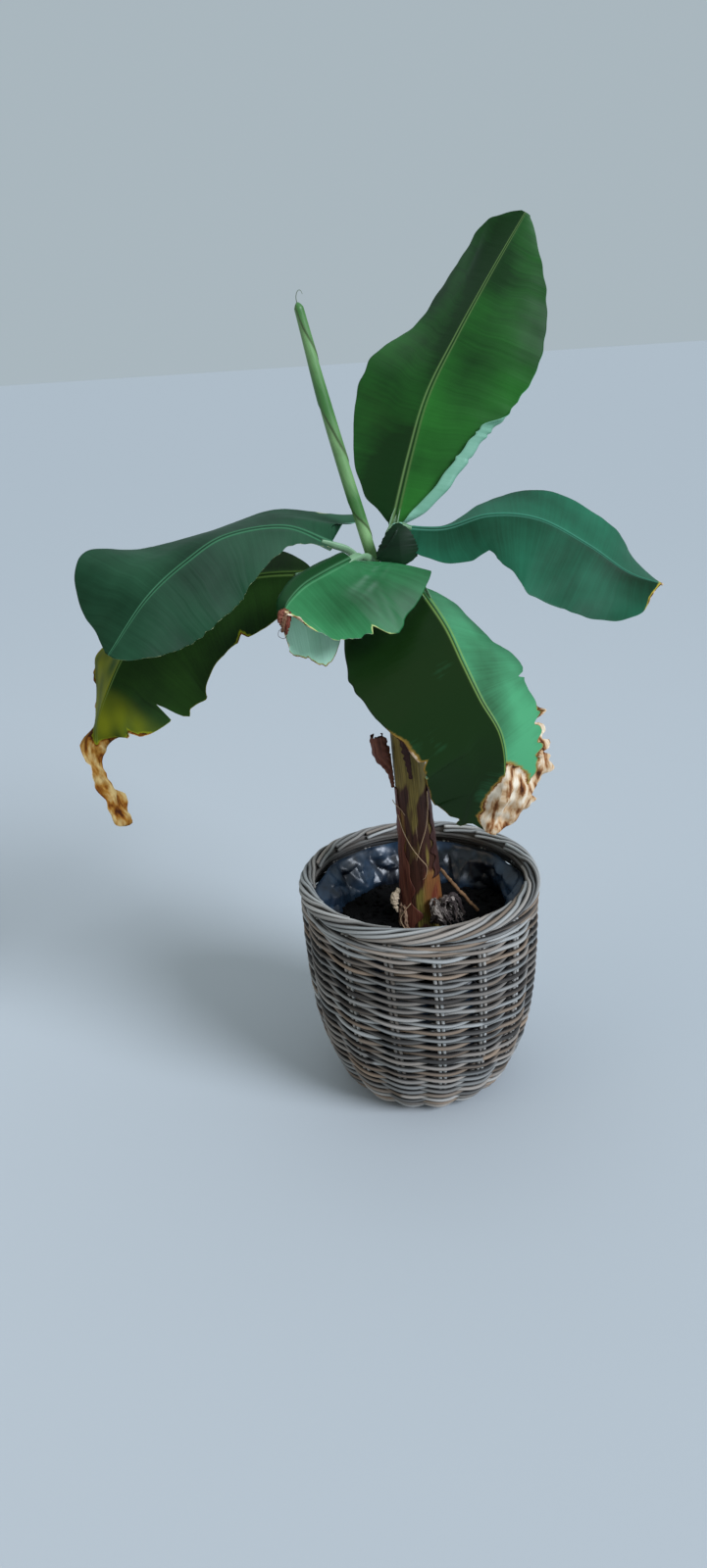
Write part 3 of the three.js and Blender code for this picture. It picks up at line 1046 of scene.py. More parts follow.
@dataclass
class LinerAndSoil:
    """Plastic liner inside the basket, and the soil in it. Sizes are in mm.

    Attributes:
        basket: the basket that they stand in.
        clear: distance of the film from the wall's outer face.
        top: height of the film's edge.
        soil_top: height of the soil.
        girth: way round the film.
        soil_gap: gap from the soil to the film.
        bed: radius of the soil that has crumbs on it.
        crumpled: heights between which the film's peaks lie.
        crumb_count: crumbs on the soil.
    """

    basket: Basket
    clear: float = 19.6
    top: float = 362
    soil_top: float = 300
    girth: float = TURN * 170
    soil_gap: float = 3
    bed: float = 165
    crumpled: tuple[float, float] = (265, 370)
    crumb_count: int = 420

    def film_radius(self, z: float) -> float:
        """Radius of the smooth film at a height, both in mm."""
        return self.basket.radius_at(z) - self.clear

    def soil_height(self, radius: Array | float) -> Array:
        """Height of the smooth soil at a distance from the middle, both in mm."""
        return self.soil_top - 8 * smooth(110, 172, np.array(radius))

    def liner(self, finish: Material) -> Piece:
        """Draws the film as a bag of rings, then crumples it.

        Args:
            finish: the film's finish.

        Returns:
            The piece, at the origin.
        """
        levels = [16, 40, 80, 130, 180, 230, 262, *np.linspace(274, self.top, 36)]
        outline = [(6, 16), (50, 16)] + [(self.film_radius(z), z) for z in levels]
        piece = turned_profile("film_liner", outline, 400, finish)
        self.open_top(piece)
        places = vertex_array(piece)
        radius = np.hypot(places[:, 0], places[:, 1])
        angle = np.arctan2(places[:, 1], places[:, 0])
        z = places[:, 2] / MM
        around = paired(np.cos(angle), np.sin(angle))
        sheet = paired(angle * 170, z)
        # Big folds, smaller ones on them and small crinkles: distance, height and seed of each.
        crumple = sum(self.facets(sheet, *plan) for plan in ((64, 20.0, 5), (36, 8.0, 8), (19, 1.2, 9)))
        # Near the soil the slack film hangs further in, up to about 25 mm.
        hang = 13.0 * (1.1 + Ripple(1.1, 3, 4).at(around)) * (1 - smooth(296, 356, z))
        inward = np.maximum(crumple + hang, 0) * smooth(270, 292, z) * (1 - 0.7 * smooth(340, 362, z))
        places[:, :2] *= ((radius - inward * MM) / np.maximum(radius, 1e-6))[:, None]
        places[:, 2] += (Ripple(0.7, 12, 6).creased(around) * 3.5 - 2) * smooth(320, 362, z) * MM
        move_vertices(piece, places)
        apply_modifier(piece, "SOLIDIFY", thickness=0.0006, offset=0.0)
        ready(piece)
        bpy.ops.object.shade_smooth_by_angle(angle=math.radians(16))
        return piece

    def facets(self, sheet: Array, size: float, height: float, seed: int) -> Array:
        """Flat-sided peaks of crumpled film, strewn over the unrolled wall.

        Args:
            sheet: (n, 2) places on the unrolled wall, in mm.
            size: distance between peaks, in mm.
            height: height of a peak, in mm.
            seed: picks the peaks.

        Returns:
            (n,) heights.
        """
        rng = np.random.default_rng(seed)
        half = self.girth / 2
        top = np.zeros(len(sheet))
        for _ in range(int(self.girth * 120 / size ** 2 * 1.6)):
            centre = (rng.uniform(-half, half), rng.uniform(*self.crumpled))
            turn, stretch, peak = rng.uniform(0, math.pi), rng.uniform(0.7, 1.7), rng.uniform(0.5, 1.2)
            across, up = (sheet - centre).T
            across = (across + half) % self.girth - half
            u = across * math.cos(turn) + up * math.sin(turn)
            v = up * math.cos(turn) - across * math.sin(turn)
            spread = np.maximum(np.abs(u) / stretch, np.abs(v) * stretch) + 0.3 * np.abs(u + v)
            top = np.maximum(top, height * (peak - spread / size))
        return top

    @staticmethod
    def open_top(piece: Piece) -> None:
        """Takes the lid off a bag that fill_holes has closed.

        Args:
            piece: the bag.
        """
        highest = max(v.co.z for v in piece.data.vertices)
        ready(piece)
        bpy.ops.object.mode_set(mode="EDIT")
        bpy.ops.mesh.select_all(action="DESELECT")
        bpy.ops.mesh.select_mode(type="FACE")
        bpy.ops.object.mode_set(mode="OBJECT")
        for face in piece.data.polygons:
            face.select = len(face.vertices) > 4 and abs(face.center.z - highest) < 1e-4
        bpy.ops.object.mode_set(mode="EDIT")
        bpy.ops.mesh.delete(type="ONLY_FACE")
        bpy.ops.object.mode_set(mode="OBJECT")

    def soil(self, finish: Material) -> Piece:
        """Draws the soil as a filled bag, then lumps its top and strews crumbs over it.

        Args:
            finish: the soil's finish.

        Returns:
            The piece, at the origin.
        """
        side = [(self.film_radius(z) - self.soil_gap, z) for z in (18, 60, 120, 200, 270, 288)]
        crown = [(r, self.soil_height(r)) for r in np.linspace(168, 4, 42)]
        piece = turned_profile("soil_bed", [(6, 18)] + side + crown, 160, finish)
        places = vertex_array(piece)
        flat = places[:, :2]
        loose = smooth(0.280, 0.292, places[:, 2]) * smooth(0.0, 0.03, np.hypot(*flat.T))
        lumps = 1.7 * Ripple(0.045, 31, 12).at(flat) + 0.9 * Ripple(0.015, 32, 12).at(flat)
        places[:, 2] += (lumps - 1.2) * loose * MM
        move_vertices(piece, places)
        join(piece, self.crumbs(finish))
        return piece

    def crumbs(self, finish: Material) -> Piece:
        """Models one crumb and strews copies of it over the soil.

        Args:
            finish: the soil's finish.

        Returns:
            All crumbs as one piece.
        """
        bpy.ops.object.select_all(action="DESELECT")
        bpy.ops.mesh.primitive_ico_sphere_add(subdivisions=2, radius=1.0)
        crumb = bpy.context.object
        shape = vertex_array(crumb)
        shape *= (1 + 0.22 * Ripple(1.4, 41, 8).at(shape))[:, None]
        faces = np.array([face.vertices for face in crumb.data.polygons])
        bpy.data.objects.remove(crumb)
        rng = np.random.default_rng(17)
        points: list[Array] = []
        polygons: list[list[int]] = []
        for number in range(self.crumb_count):
            radius, turn = self.bed * math.sqrt(rng.uniform(0.06, 1)), rng.uniform(0, TURN)
            size = float(rng.gamma(3.0, 0.9) + 1.2)
            place = polar(radius, turn, self.soil_height(radius) + size * 0.1 - 0.8)
            spin = np.array(Matrix.Rotation(rng.uniform(0, 6.28), 3, Vector(rng.normal(size=3))))
            points.append((shape * (size, size * 0.8, size * 0.6)) @ spin.T + place)
            polygons += (faces + number * len(shape)).tolist()
        mesh = bpy.data.meshes.new("soil_crumbs")
        mesh.from_pydata((np.concatenate(points) * MM).tolist(), [], polygons)
        return placed(mesh, finish)


# The leaves, the stem and what has dried.


class Side(Enum):
    """Half of a blade, as seen from above, looking from its base to its tip."""

    LEFT = 0
    RIGHT = 1

    @property
    def sign(self) -> int:
        """-1 to the left, 1 to the right."""
        return 2 * self.value - 1


LEFT, RIGHT = Side.LEFT, Side.RIGHT


@dataclass(frozen=True)
class Notch:
    """A tear or nick in the margin: its side, place, half-length and depth, as shares."""

    side: Side
    t: float
    half: float
    depth: float


@dataclass(frozen=True)
class Browning:
    """A dead stretch of margin: its side, place and half-length, and in mm its depth and yellow rim."""

    side: Side
    t: float
    half: float
    depth: float
    rim: float = 4.0


@dataclass(frozen=True)
class Roll:
    """A stretch of margin rolled back over the blade: its side, start and end, and width in mm."""

    side: Side
    start: float
    end: float
    width: float


@dataclass(frozen=True)
class Pleat:
    """A fold that fans out from the stalk: its side, where it meets the margin, and height in mm."""

    side: Side
    t: float
    height: float


def on_side(marks: tuple, side: Side) -> list:
    """Those marks that lie on one half of the blade."""
    return [mark for mark in marks if mark.side is side]


@dataclass(frozen=True)
class LeafShape:
    """A leaf's shape and its wear.

    Attributes:
        name: the leaf's name in the frame.
        nodes: the frame's blade nodes.
        rank: its age, 0 for the youngest, whose sheath lies innermost.
        up: which way its upper face looks.
        crown_angle: degrees round the crown where it leaves it.
        stalk: middle points of its petiole, in mm.
        base_round: share of its length that rounds off at the base.
        tip_round: share that rounds off at the tip.
        stations: for each station the rib's x, y and z and the half-widths in mm, then in degrees
            how far each half falls from the rib, how much further it curls by the margin, how far
            its veins lean forward, and how far the right half first rises; missing ones are 0.
        skin: finish of its upper face.
        notches: tears and nicks.
        browning: dead stretches of margin.
        rolls: rolled stretches of margin.
        dead_edge: for each half, (part, t) pairs past which the tissue is dead.
        yellow: for each half, (start, end) along the rib over which it turns yellow.
        pleats: folds that fan out from the stalk.
        wave: height of the margin's waves, in mm.
        shade: lightness, left and right, partly the half's own tone and partly painted light and shade.
        toward_tip: how much lighter each half is at the tip than at the base, partly painted light and shade.
        band: depth of the dark band beside the rib, left and right.
        rib: how far the midrib shows, from 0 to 1.
        under: finish of its underside where that is paler than the others', as painted light on it.
        seed: picks its waves.
    """

    name: str
    nodes: tuple[str, ...]
    rank: int
    up: tuple[float, float, float]
    crown_angle: float
    stalk: tuple[tuple[float, float, float], ...]
    base_round: float
    tip_round: float
    stations: tuple[tuple[float, ...], ...]
    skin: LeafSkin
    notches: tuple[Notch, ...] = ()
    browning: tuple[Browning, ...] = ()
    rolls: tuple[Roll, ...] = ()
    dead_edge: tuple[tuple[tuple[float, float], ...], ...] = (((0, 2),), ((0, 2),))
    yellow: tuple[tuple[float, float], ...] = ((2.0, 3.0), (2.0, 3.0))
    pleats: tuple[Pleat, ...] = ()
    wave: float = 3.0
    shade: tuple[float, float] = (0.0, 0.0)
    toward_tip: tuple[float, float] = (0.0, 0.0)
    band: tuple[float, float] = (0.0, 0.0)
    rib: float = 1.0
    under: LeafSkin | None = None
    seed: int = 1

    @property
    def table(self) -> Array:
        """The stations, each filled up to twelve numbers."""
        return np.array([row + (0,) * (12 - len(row)) for row in self.stations], float)


# Each leaf's skin colours differ partly by its own tone and partly as painted light and shade, lighter where
# it faces the light and darker where it lies in shade.
LEAVES = (
    LeafShape(
        "tall", ("blade_tall",), 0, (-0.35, -1, 0.35), 60, ((-20, 9, 905),), 0.1, 0.3,
        (
            (-15, 10, 960, 26, 30, 0, 0, 0, 0, -10, -5),
            (15, 40, 1055, 100, 79, 5, 5, 10, 10, 5, 5),
            (45, 60, 1135, 116, 113, 5, 5, 15, 15, 10, 5),
            (90, 80, 1210, 95, 125, 25, 5, 15, 15, 10, 5),
            (140, 100, 1285, 103, 94, 30, 10, 15, 15, 17, 10),
            (195, 117, 1364, 68, 52, 10, 20, 0, 0, 10),
        ),
        LeafSkin("banana_leaf_upper_tall", "#0e300d", "#286d25", "#6e8a50", 0.46, wax=0.18),
        notches=(Notch(RIGHT, 0.30, 0.01, 0.04), Notch(RIGHT, 0.21, 0.008, 0.04)),
        rolls=(Roll(RIGHT, -0.04, 0.48, 14),),
        wave=2.4, shade=(-0.1, 0.25), toward_tip=(-0.1, -0.52), band=(0.3, 0.0), seed=3,
    ),
    LeafShape(
        "left", ("blade_left",), 2, (0, 0, 1), 186, ((-55, -14, 883), (-77, -11, 928)), 0.04, 0.22,
        (
            (-105, -20, 945, 4, 94, 60, -46, 0, 0, 0, -58),
            (-170, -45, 980, 32, 100, 55, -10, 10, 10, 5, -10),
            (-250, -80, 980, 82, 105, 60, 0, 10, 15, 10, 5),
            (-305, -115, 955, 90, 110, 60, -12, 10, 10, 10, 10),
            (-360, -150, 915, 86, 114, 60, -42, 10, 5, 10, 10),
            (-415, -185, 850, 60, 48, 55, -30, 0, 0, 10, 15),
        ),
        LeafSkin("banana_leaf_upper_left", "#0b2615", "#2a543a", "#457a58", 0.5, turning="#c4ca9a", wax=0.1,
                 relief=0.00025),
        browning=(Browning(RIGHT, 0.113, 0.012, 3.0, 3.0), Browning(LEFT, 0.5, 2.0, -0.8, 1.0)),
        wave=2.2, shade=(0.12, 0.15), toward_tip=(-0.26, -0.3), band=(0.06, 0.12), seed=5,
    ),
    LeafShape(
        "lower_left", ("blade_lower_left_inner", "blade_lower_left_outer"), 5, (0, 0, 1), 122,
        ((-58, 12, 882), (-105, 11, 901)), 0.1, 0.015,
        (
            (-140, 10, 900, 40, 44, 70, -12),
            (-220, 10, 900, 78, 86, 75, -14, 0, 0, 5),
            (-305, 0, 885, 100, 100, 75, 20, 0, 0, 14),
            (-390, -15, 845, 142, 90, 77, 20, 0, 0, 27),
            (-450, -30, 765, 107, 104, 69, -10, 0, 0, 38),
            (-485, -40, 665, 25, 30, 40, 10, 0, 0, 10),
            (-450, -60, 540, 22, 24, 30, 20),
        ),
        LeafSkin("banana_leaf_upper_lower", "#11230a", "#2b4d18", "#6c8844", 0.6, turning="#747812", wax=0.08,
                 husk=("#3a1c0c", "#704012", "#8c6228", "#ac9260")),
        notches=(Notch(LEFT, 0.25, 0.02, 0.1), Notch(LEFT, 0.624, 0.018, -0.08),
                 Notch(LEFT, 0.65, 0.012, 0.34), Notch(LEFT, 0.74, 0.008, 0.16),
                 Notch(RIGHT, 0.87, 0.012, 0.3)),
        browning=(Browning(LEFT, 0.25, 0.03, 3.0), Browning(LEFT, 0.4, 2.0, -0.1, 1.2),
                  Browning(RIGHT, 0.7, 0.14, 4.0, 6.0), Browning(LEFT, 0.735, 0.03, 6.0, 5.0)),
        dead_edge=(((0, 0.83), (1, 0.8)), ((0, 0.83), (0.6, 0.8), (1, 0.76))),
        yellow=((0.67, 0.75), (0.55, 0.62)), wave=3.2, shade=(-0.1, 0.1), band=(0.1, 0.0), seed=7,
    ),
    LeafShape(
        "front", ("blade_front",), 3, (0, 0, 1), 244, ((-42, -24, 890), (-60, -36, 927)), 0.012, 0.1,
        (
            (-80, -60, 930, 118, 100, 6, 92, 16, 0, -41, 0, 130),
            (-115, -105, 925, 120, 166, 40, 92, 12, 0, -18, 0, 147),
            (-145, -150, 920, 95, 146, 50, 92, 0, 0, 0, 0, 147),
            (-165, -185, 910, 78, 112, 50, 90, 0, 0, 0, 0, 100),
            (-175, -205, 900, 40, 46, 50, 85, 0, 0, 0, 0, 20),
        ),
        LeafSkin("banana_leaf_upper_front", "#0e3616", "#37814f", "#5f9a6c", 0.42, turning="#b9c47a",
                 wax=0.16),
        notches=(Notch(LEFT, 0.3, 0.03, 0.12), Notch(LEFT, 0.35, 0.1, 0.08), Notch(LEFT, 0.24, 0.05, -0.09)),
        browning=(Browning(LEFT, 0.75, 0.6, -0.8, 1.2), Browning(LEFT, 0.3, 0.03, -0.2, 4.0),
                  Browning(RIGHT, 0.6, 0.6, 1.0, 2.0)),
        dead_edge=(((0, 0.965), (1, 0.93)), ((0, 0.965), (0.5, 0.92), (1, 0.93))),
        pleats=(Pleat(LEFT, 0.25, 2.2),),
        wave=1.2, shade=(-0.1, -0.7), toward_tip=(0.34, 0.0), rib=0.6, seed=11,
        # The front leaf's underside is painted paler, as painted light on its hanging half.
        under=LeafSkin("banana_leaf_underside_front_painted_light", "#98d4ae", "#dcf8e6", "#b4d2a4", 0.3, 0.1, wax=0.5,
                       follows=0.1),
    ),
    LeafShape(
        "front_right", ("blade_front_right",), 4, (0, -1, 0.6), 302, ((-10, -26, 869), (8, -27, 887)),
        0.05, 0.05,
        (
            (17, -42, 880, 40, 124, 40, 10, 0, 0, 0, -22),
            (45, -125, 845, 92, 162, 50, 20, 0, 0, 0, -7),
            (65, -165, 800, 150, 148, 50, 20, 0, 0, 0, 4),
            (85, -190, 755, 140, 126, 50, 20, 0, 0, 0, 8),
            (110, -205, 705, 112, 126, 45, 20, 0, 0, 0, 16),
            (115, -205, 640, 97, 122, 40, 20, 0, 0, 0, 35),
            (100, -195, 550, 24, 52, 30, 20, 0, 0, 0, 24),
        ),
        LeafSkin("banana_leaf_upper_right_front", "#122c08", "#469264", "#7a9a4c", 0.44, turning="#8e6e2c",
                 wax=0.2),
        notches=(Notch(RIGHT, 0.545, 0.012, 0.08), Notch(LEFT, 0.47, 0.03, 0.12),
                 Notch(LEFT, 0.8, 0.012, 0.16), Notch(LEFT, 0.9, 0.012, 0.25),
                 Notch(RIGHT, 0.95, 0.015, 0.2)),
        browning=(Browning(RIGHT, 0.49, 0.07, 3.0, 5.0), Browning(RIGHT, 0.8, 0.2, -0.2, 2.0)),
        dead_edge=(((0, 0.78), (0.3, 0.81), (0.62, 0.87), (0.82, 0.79), (1, 0.66)),
                   ((0, 0.82), (0.3, 0.93), (0.6, 1.0), (1, 1.03))),
        wave=2.0, shade=(0.06, -0.6), toward_tip=(0.45, 0.06), band=(0.1, 0.0), seed=13,
    ),
    LeafShape(
        "right", ("blade_right",), 1, (0, 0, 1), 0, ((-17, -8, 905), (-25, -12, 952)), 0.04, 0.1,
        (
            (-10, -15, 965, 10, 24, 0, 60, 0, 0, 0, -10),
            (55, -25, 960, 10, 58, 0, 50, 0, 0, 0, 10),
            (120, -30, 975, 62, 78, -8, 45, 0, 0, 0, 5),
            (190, -35, 965, 92, 124, -16, 40),
            (260, -45, 925, 98, 122, -18, 40),
            (315, -55, 885, 84, 88, -10, 40, 0, 0, 0, 5),
            (365, -60, 865, 34, 14, 0, 30, 0, 0, 0, 10),
        ),
        LeafSkin("banana_leaf_upper_right", "#0a2c18", "#20664a", "#43806a", 0.44, wax=0.14),
        notches=(Notch(RIGHT, 0.285, 0.07, 0.2), Notch(RIGHT, 1.0, 0.07, 0.6)),
        browning=(Browning(RIGHT, 0.95, 0.03, 3.0, 4.0),),
        dead_edge=(((0, 0.99), (1, 0.99)), ((0, 0.99), (1, 0.975))),
        wave=2.0, shade=(0.2, 0.12), toward_tip=(0.0, -0.3), band=(0.0, 0.2), seed=17,
    ),
)

# A small lobe that stands at the foot of the right leaf and is joined to its blade. Its own
# dark green is deepened further as painted shade under the crown.
BASE_LOBE = LeafShape(
    "right_lobe", (), 1, (0, -1, 0.2), 0, (), 0.2, 0.25,
    (
        (-12, -34, 972, 9, 9, 0, 0, 10, 10),
        (-11, -44, 953, 21, 24, 5, 0, 20, 10),
        (-10, -50, 931, 28, 35, 10, 0, 20, 10),
        (-9, -50, 914, 22, 22, 10, 0, 20, 10),
    ),
    LeafSkin("banana_leaf_upper_lobe_painted_shade", "#08190c", "#143a1c", "#2c5c38", 0.42, wax=0.15),
    pleats=(Pleat(RIGHT, 0.7, 4.0),), wave=2.0, rib=0.0, seed=19,
)


@dataclass
class Blade:
    """One leaf blade, on the frame's rule but finer, with its rib, waves, tears and dead parts.

    Attributes:
        shape: the leaf.
        rows: rows of points along the rib.
        columns: columns of points from the rib to a margin.
        least_half: least half-width, in mm.
        sweep: reach where the veins begin to lean and where they lean in full, in mm.
        crest: reach where a crested half begins to fold down and where it has, in mm.
        plate: thickness of the lamina, in mm.
        keel: depth of the midrib at the base, in mm.
        turn_back: length of margin over which a roll turns right over, in mm.
    """

    shape: LeafShape
    rows: int = 190
    columns: int = 32
    least_half: float = 7.5
    sweep: tuple[float, float] = (30, 60)
    crest: tuple[float, float] = (14, 24)
    plate: float = 1.1
    keel: float = 9.0
    turn_back: float = 12

    def half_width(self, table: Array, t: Array, side: Side) -> Array:
        """Half-width at places along the rib, with tears taken out of it.

        Args:
            table: interpolated stations.
            t: places along the rib.
            side: which half.

        Returns:
            Half-widths in mm.
        """
        shape, k = self.shape, side.value
        base, tip = (dome(1 - np.minimum(p, 1)) for p in (t / shape.base_round, (1 - t) / shape.tip_round))
        width = np.maximum(table[:, 3 + k] * base * tip, self.least_half)
        for notch in on_side(shape.notches, side):
            width *= 1 - notch.depth * np.clip(1 - np.abs(t - notch.t) / notch.half, 0, 1)
        uneven = Ripple(0.09, shape.seed + k, 8).at(t[:, None]) * 0.9
        torn = smooth(-0.02, 0.05, t - shape.dead_edge[k][-1][1])
        jagged = 0.09 * torn * (1 + Ripple(0.05, shape.seed + 50 + k, 6).creased(t[:, None]))
        return (width + uneven) * (1 - jagged)

    @staticmethod
    def rib_half(t: Array) -> Array:
        """(n, 1) half-width of the midrib at places along it, in mm."""
        return (4.2 * np.clip(1 - t, 0, 1) ** 0.7 + 0.9)[:, None]

    def half(self, t: Array, side: Side) -> tuple[Array, ...]:
        """One half of the blade without its relief, from the rib to the margin.

        Args:
            t: places along the rib.
            side: which half.

        Returns:
            Points (n, m, 3), normals (n, m, 3), reach from the rib (n, m), half-width (n, 1) and
            how far the margin is rolled over (n, m), in mm.
        """
        k, stations = side.value, self.shape.table
        table = catmull(stations, t)
        ahead, behind = (catmull(stations, np.clip(t + off, 0, 1))[:, :3] for off in (1e-3, -1e-3))
        along = unit(ahead - behind)
        across = unit(np.cross(along, np.array(self.shape.up, float)))
        upward = np.cross(across, along)
        outward = across * side.sign
        width = self.half_width(table, t, side)[:, None]
        # Close columns over the rib and at the margin, even ones between.
        reach = self.rib_half(t) * np.array([[0, 0.32, 0.6, 0.8, 1.0, 1.3]])
        even = np.concatenate([np.linspace(0, 0.9, self.columns - 8)[1:], [0.935, 0.962, 0.983, 1.0]])
        reach = np.concatenate([reach, reach[:, -1:] + (width - reach[:, -1:]) * even], 1)
        slope = table[:, 5 + k, None] + table[:, 7 + k, None] * (reach / width)
        if side is RIGHT:
            slope = slope - table[:, 11, None] * (1 - smooth(*self.crest, reach))
        slope = np.radians(slope)
        rolled = np.zeros_like(slope)
        for roll in on_side(self.shape.rolls, side):
            held = smooth(roll.start - 0.02, roll.start + 0.1, t) * smooth(roll.end, roll.end - 0.16, t)
            held = held[:, None]
            over = np.linspace(0, 1, 9)[1:] * (self.turn_back + roll.width * held)
            reach = np.concatenate([reach, width + over * held], 1)
            back = math.pi * smooth(0, self.turn_back, over) * held * 0.97
            slope = np.concatenate([slope, slope[:, -1:] - back], 1)
            rolled = np.concatenate([rolled, over * held], 1)
        middle = (slope[:, 1:] + slope[:, :-1]) / 2
        step = np.diff(reach, axis=1)
        steps = (np.cos(middle) * step, np.sin(middle) * step)
        out, down = (np.pad(np.cumsum(part, 1), ((0, 0), (1, 0)))[..., None] for part in steps)
        lean = np.radians(table[:, 9 + k, None]) * smooth(*self.sweep, np.minimum(reach, width))
        lean = lean[..., None]
        outward, along, upward = outward[:, None], along[:, None], upward[:, None]
        veins = outward * np.cos(lean) + along * np.sin(lean)
        points = table[:, None, :3] + veins * out - upward * down
        normals = upward * np.cos(slope)[..., None] + outward * np.sin(slope)[..., None]
        return points, normals, reach, width, rolled

    def age(self, t: Array, side: Side, reach: Array, width: Array, length: float) -> Array:
        """How dead the tissue is: 0.5 at the edge of a dead part, 1 well inside it.

        Args:
            t: places along the rib.
            side: which half.
            reach: distance from the rib, in mm.
            width: half-width, in mm.
            length: the rib's length, in mm.

        Returns:
            Age at each point.
        """
        none, fade = -60.0, 50
        margin = np.maximum(width - reach, 0)
        depth = np.full_like(reach, none)
        for stretch in on_side(self.shape.browning, side):
            fading = (abs(stretch.depth) + 1) * ((t - stretch.t) / stretch.half) ** 2
            reached = np.clip(stretch.depth - fading, none, None)[:, None]
            depth = np.maximum(depth, (reached - margin) * 5 / stretch.rim)
        parts, places = np.array(self.shape.dead_edge[side.value], float).T
        edge = np.interp(np.clip(reach / width, 0, 1), parts, places)
        depth = np.maximum(depth, (t[:, None] - edge) * length)
        return np.clip(0.5 + depth / fade, 0, 1)

    def worn_half(self, t: Array, along: Array, side: Side) -> tuple[Array, ...]:
        """One half of the blade with its relief and wear.

        Args:
            t: places along the rib.
            along: distances along the rib, in mm.
            side: which half.

        Returns:
            Points (n, m, 3) in mm, vein map (n, m, 2) in metres, tone (n, m, 4), thickness (n, m) in mm.
        """
        shape, k = self.shape, side.value
        points, normals, reach, width, rolled = self.half(t, side)
        share = np.clip(reach / width, 0, 1)
        flat = paired(along[:, None], reach * side.sign)
        ribs = reach / self.rib_half(t)
        t_down = t[:, None]
        dead = self.age(t, side, reach, width, float(along[-1]))
        # The margin waves in swells 130 mm long.
        wave = shape.wave * share ** 1.6 * (
            0.6 * np.sin(along / 130 * TURN + shape.seed * 1.7 + k * 2)[:, None]
            + 0.2 * Ripple(60, shape.seed + 40 + k, 8).at(flat))
        for pleat in on_side(shape.pleats, side):
            off = (t_down - pleat.t * share ** 0.8) / (0.022 + 0.02 * share)
            wave = wave + pleat.height * bell(off) * smooth(0.02, 0.3, share)
        veins = 0.07 * Ripple(9, shape.seed + 60, 6).at(flat * (1, 0.06)) * smooth(4, 22, reach)
        # Dead tissue shrivels in folds, in creases along the veins and in broad bulges.
        crumple = smooth(0.5, 0.62, dead) * (
            5.4 * Ripple(34, shape.seed + 70, 5).creased(flat * (0.4, 1))
            + 1.3 * Ripple(11, shape.seed + 71, 5).creased(flat * (0.5, 1))
            + 3.6 * Ripple(60, shape.seed + 72, 6).at(flat))
        # The midrib is a groove 1.1 mm deep between two low ridges, with a keel under it.
        groove = -1.1 * np.clip(1 - ribs ** 2, 0, 1) + 0.5 * bell((ribs - 1.1) / 0.5)
        lift = (wave + veins + crumple) * np.clip(1 - rolled / 16, 0, 1) + 0.5
        lift = lift + shape.rib * groove * (1 - 0.6 * t_down)
        keel = (self.keel * (1 - t_down) + 2.2) * dome(ribs / 1.15)
        thick = np.maximum(self.plate * (1 - 0.3 * share), keel * shape.rib)
        patchy = 0.6 + 0.28 * Ripple(40, shape.seed + 80, 6).at(flat * (0.5, 1))
        yellow = np.clip(smooth(*shape.yellow[k], t_down) * patchy, 0, 0.85)
        midrib = 0.7 * shape.rib * bell((ribs - 0.72) / 0.27) * (1 - smooth(0.5, 0.6, dead))
        # Lightness by half and along the rib is partly painted light and shade, as each half faces the light.
        light = shape.shade[k] + shape.toward_tip[k] * t_down
        light = light + 0.16 * Ripple(180, shape.seed + 90, 6).at(flat)
        # The middle of the midrib's groove is darkened as painted shade in the groove; a band beside the rib
        # is darkened too.
        light = light - 0.2 * shape.rib * bell(ribs / 0.4) - shape.band[k] * bell(reach / 42)
        return points + normals * lift[..., None], flat * MM, paired(dead, yellow, midrib, light), thick

    def piece(self, under: Material) -> Piece:
        """Builds the blade, with its upper face, underside and rim.

        Args:
            under: finish of the underside.

        Returns:
            The blade, at the origin.
        """
        shape = self.shape
        t = np.linspace(0, 1, self.rows)
        along = distances(catmull(shape.table, t)[:, :3])
        left, right = (self.worn_half(t, along, side) for side in Side)
        points, grain, tone, thick = (np.concatenate([a[:, ::-1], b[:, 1:]], 1) for a, b in zip(left, right))
        batch = Batch()
        batch.grid(points * MM, grain, tone)
        below = shape.under.material() if shape.under else under
        piece = batch.build(f"leaf_blade_{shape.name}", shape.skin.material(), below)
        deepest = float(thick.max())
        group = piece.vertex_groups.new(name="thickness")
        levels = np.clip(np.round(thick.ravel() / deepest * 100), 0, 100).astype(int)
        for level in np.unique(levels):
            group.add(np.flatnonzero(levels == level).tolist(), float(level) / 100, "REPLACE")
        apply_modifier(piece, "SOLIDIFY", thickness=deepest * MM, offset=-1.0, vertex_group=group.name,
                       material_offset=1, material_offset_rim=1)
        piece.vertex_groups.clear()
        return piece


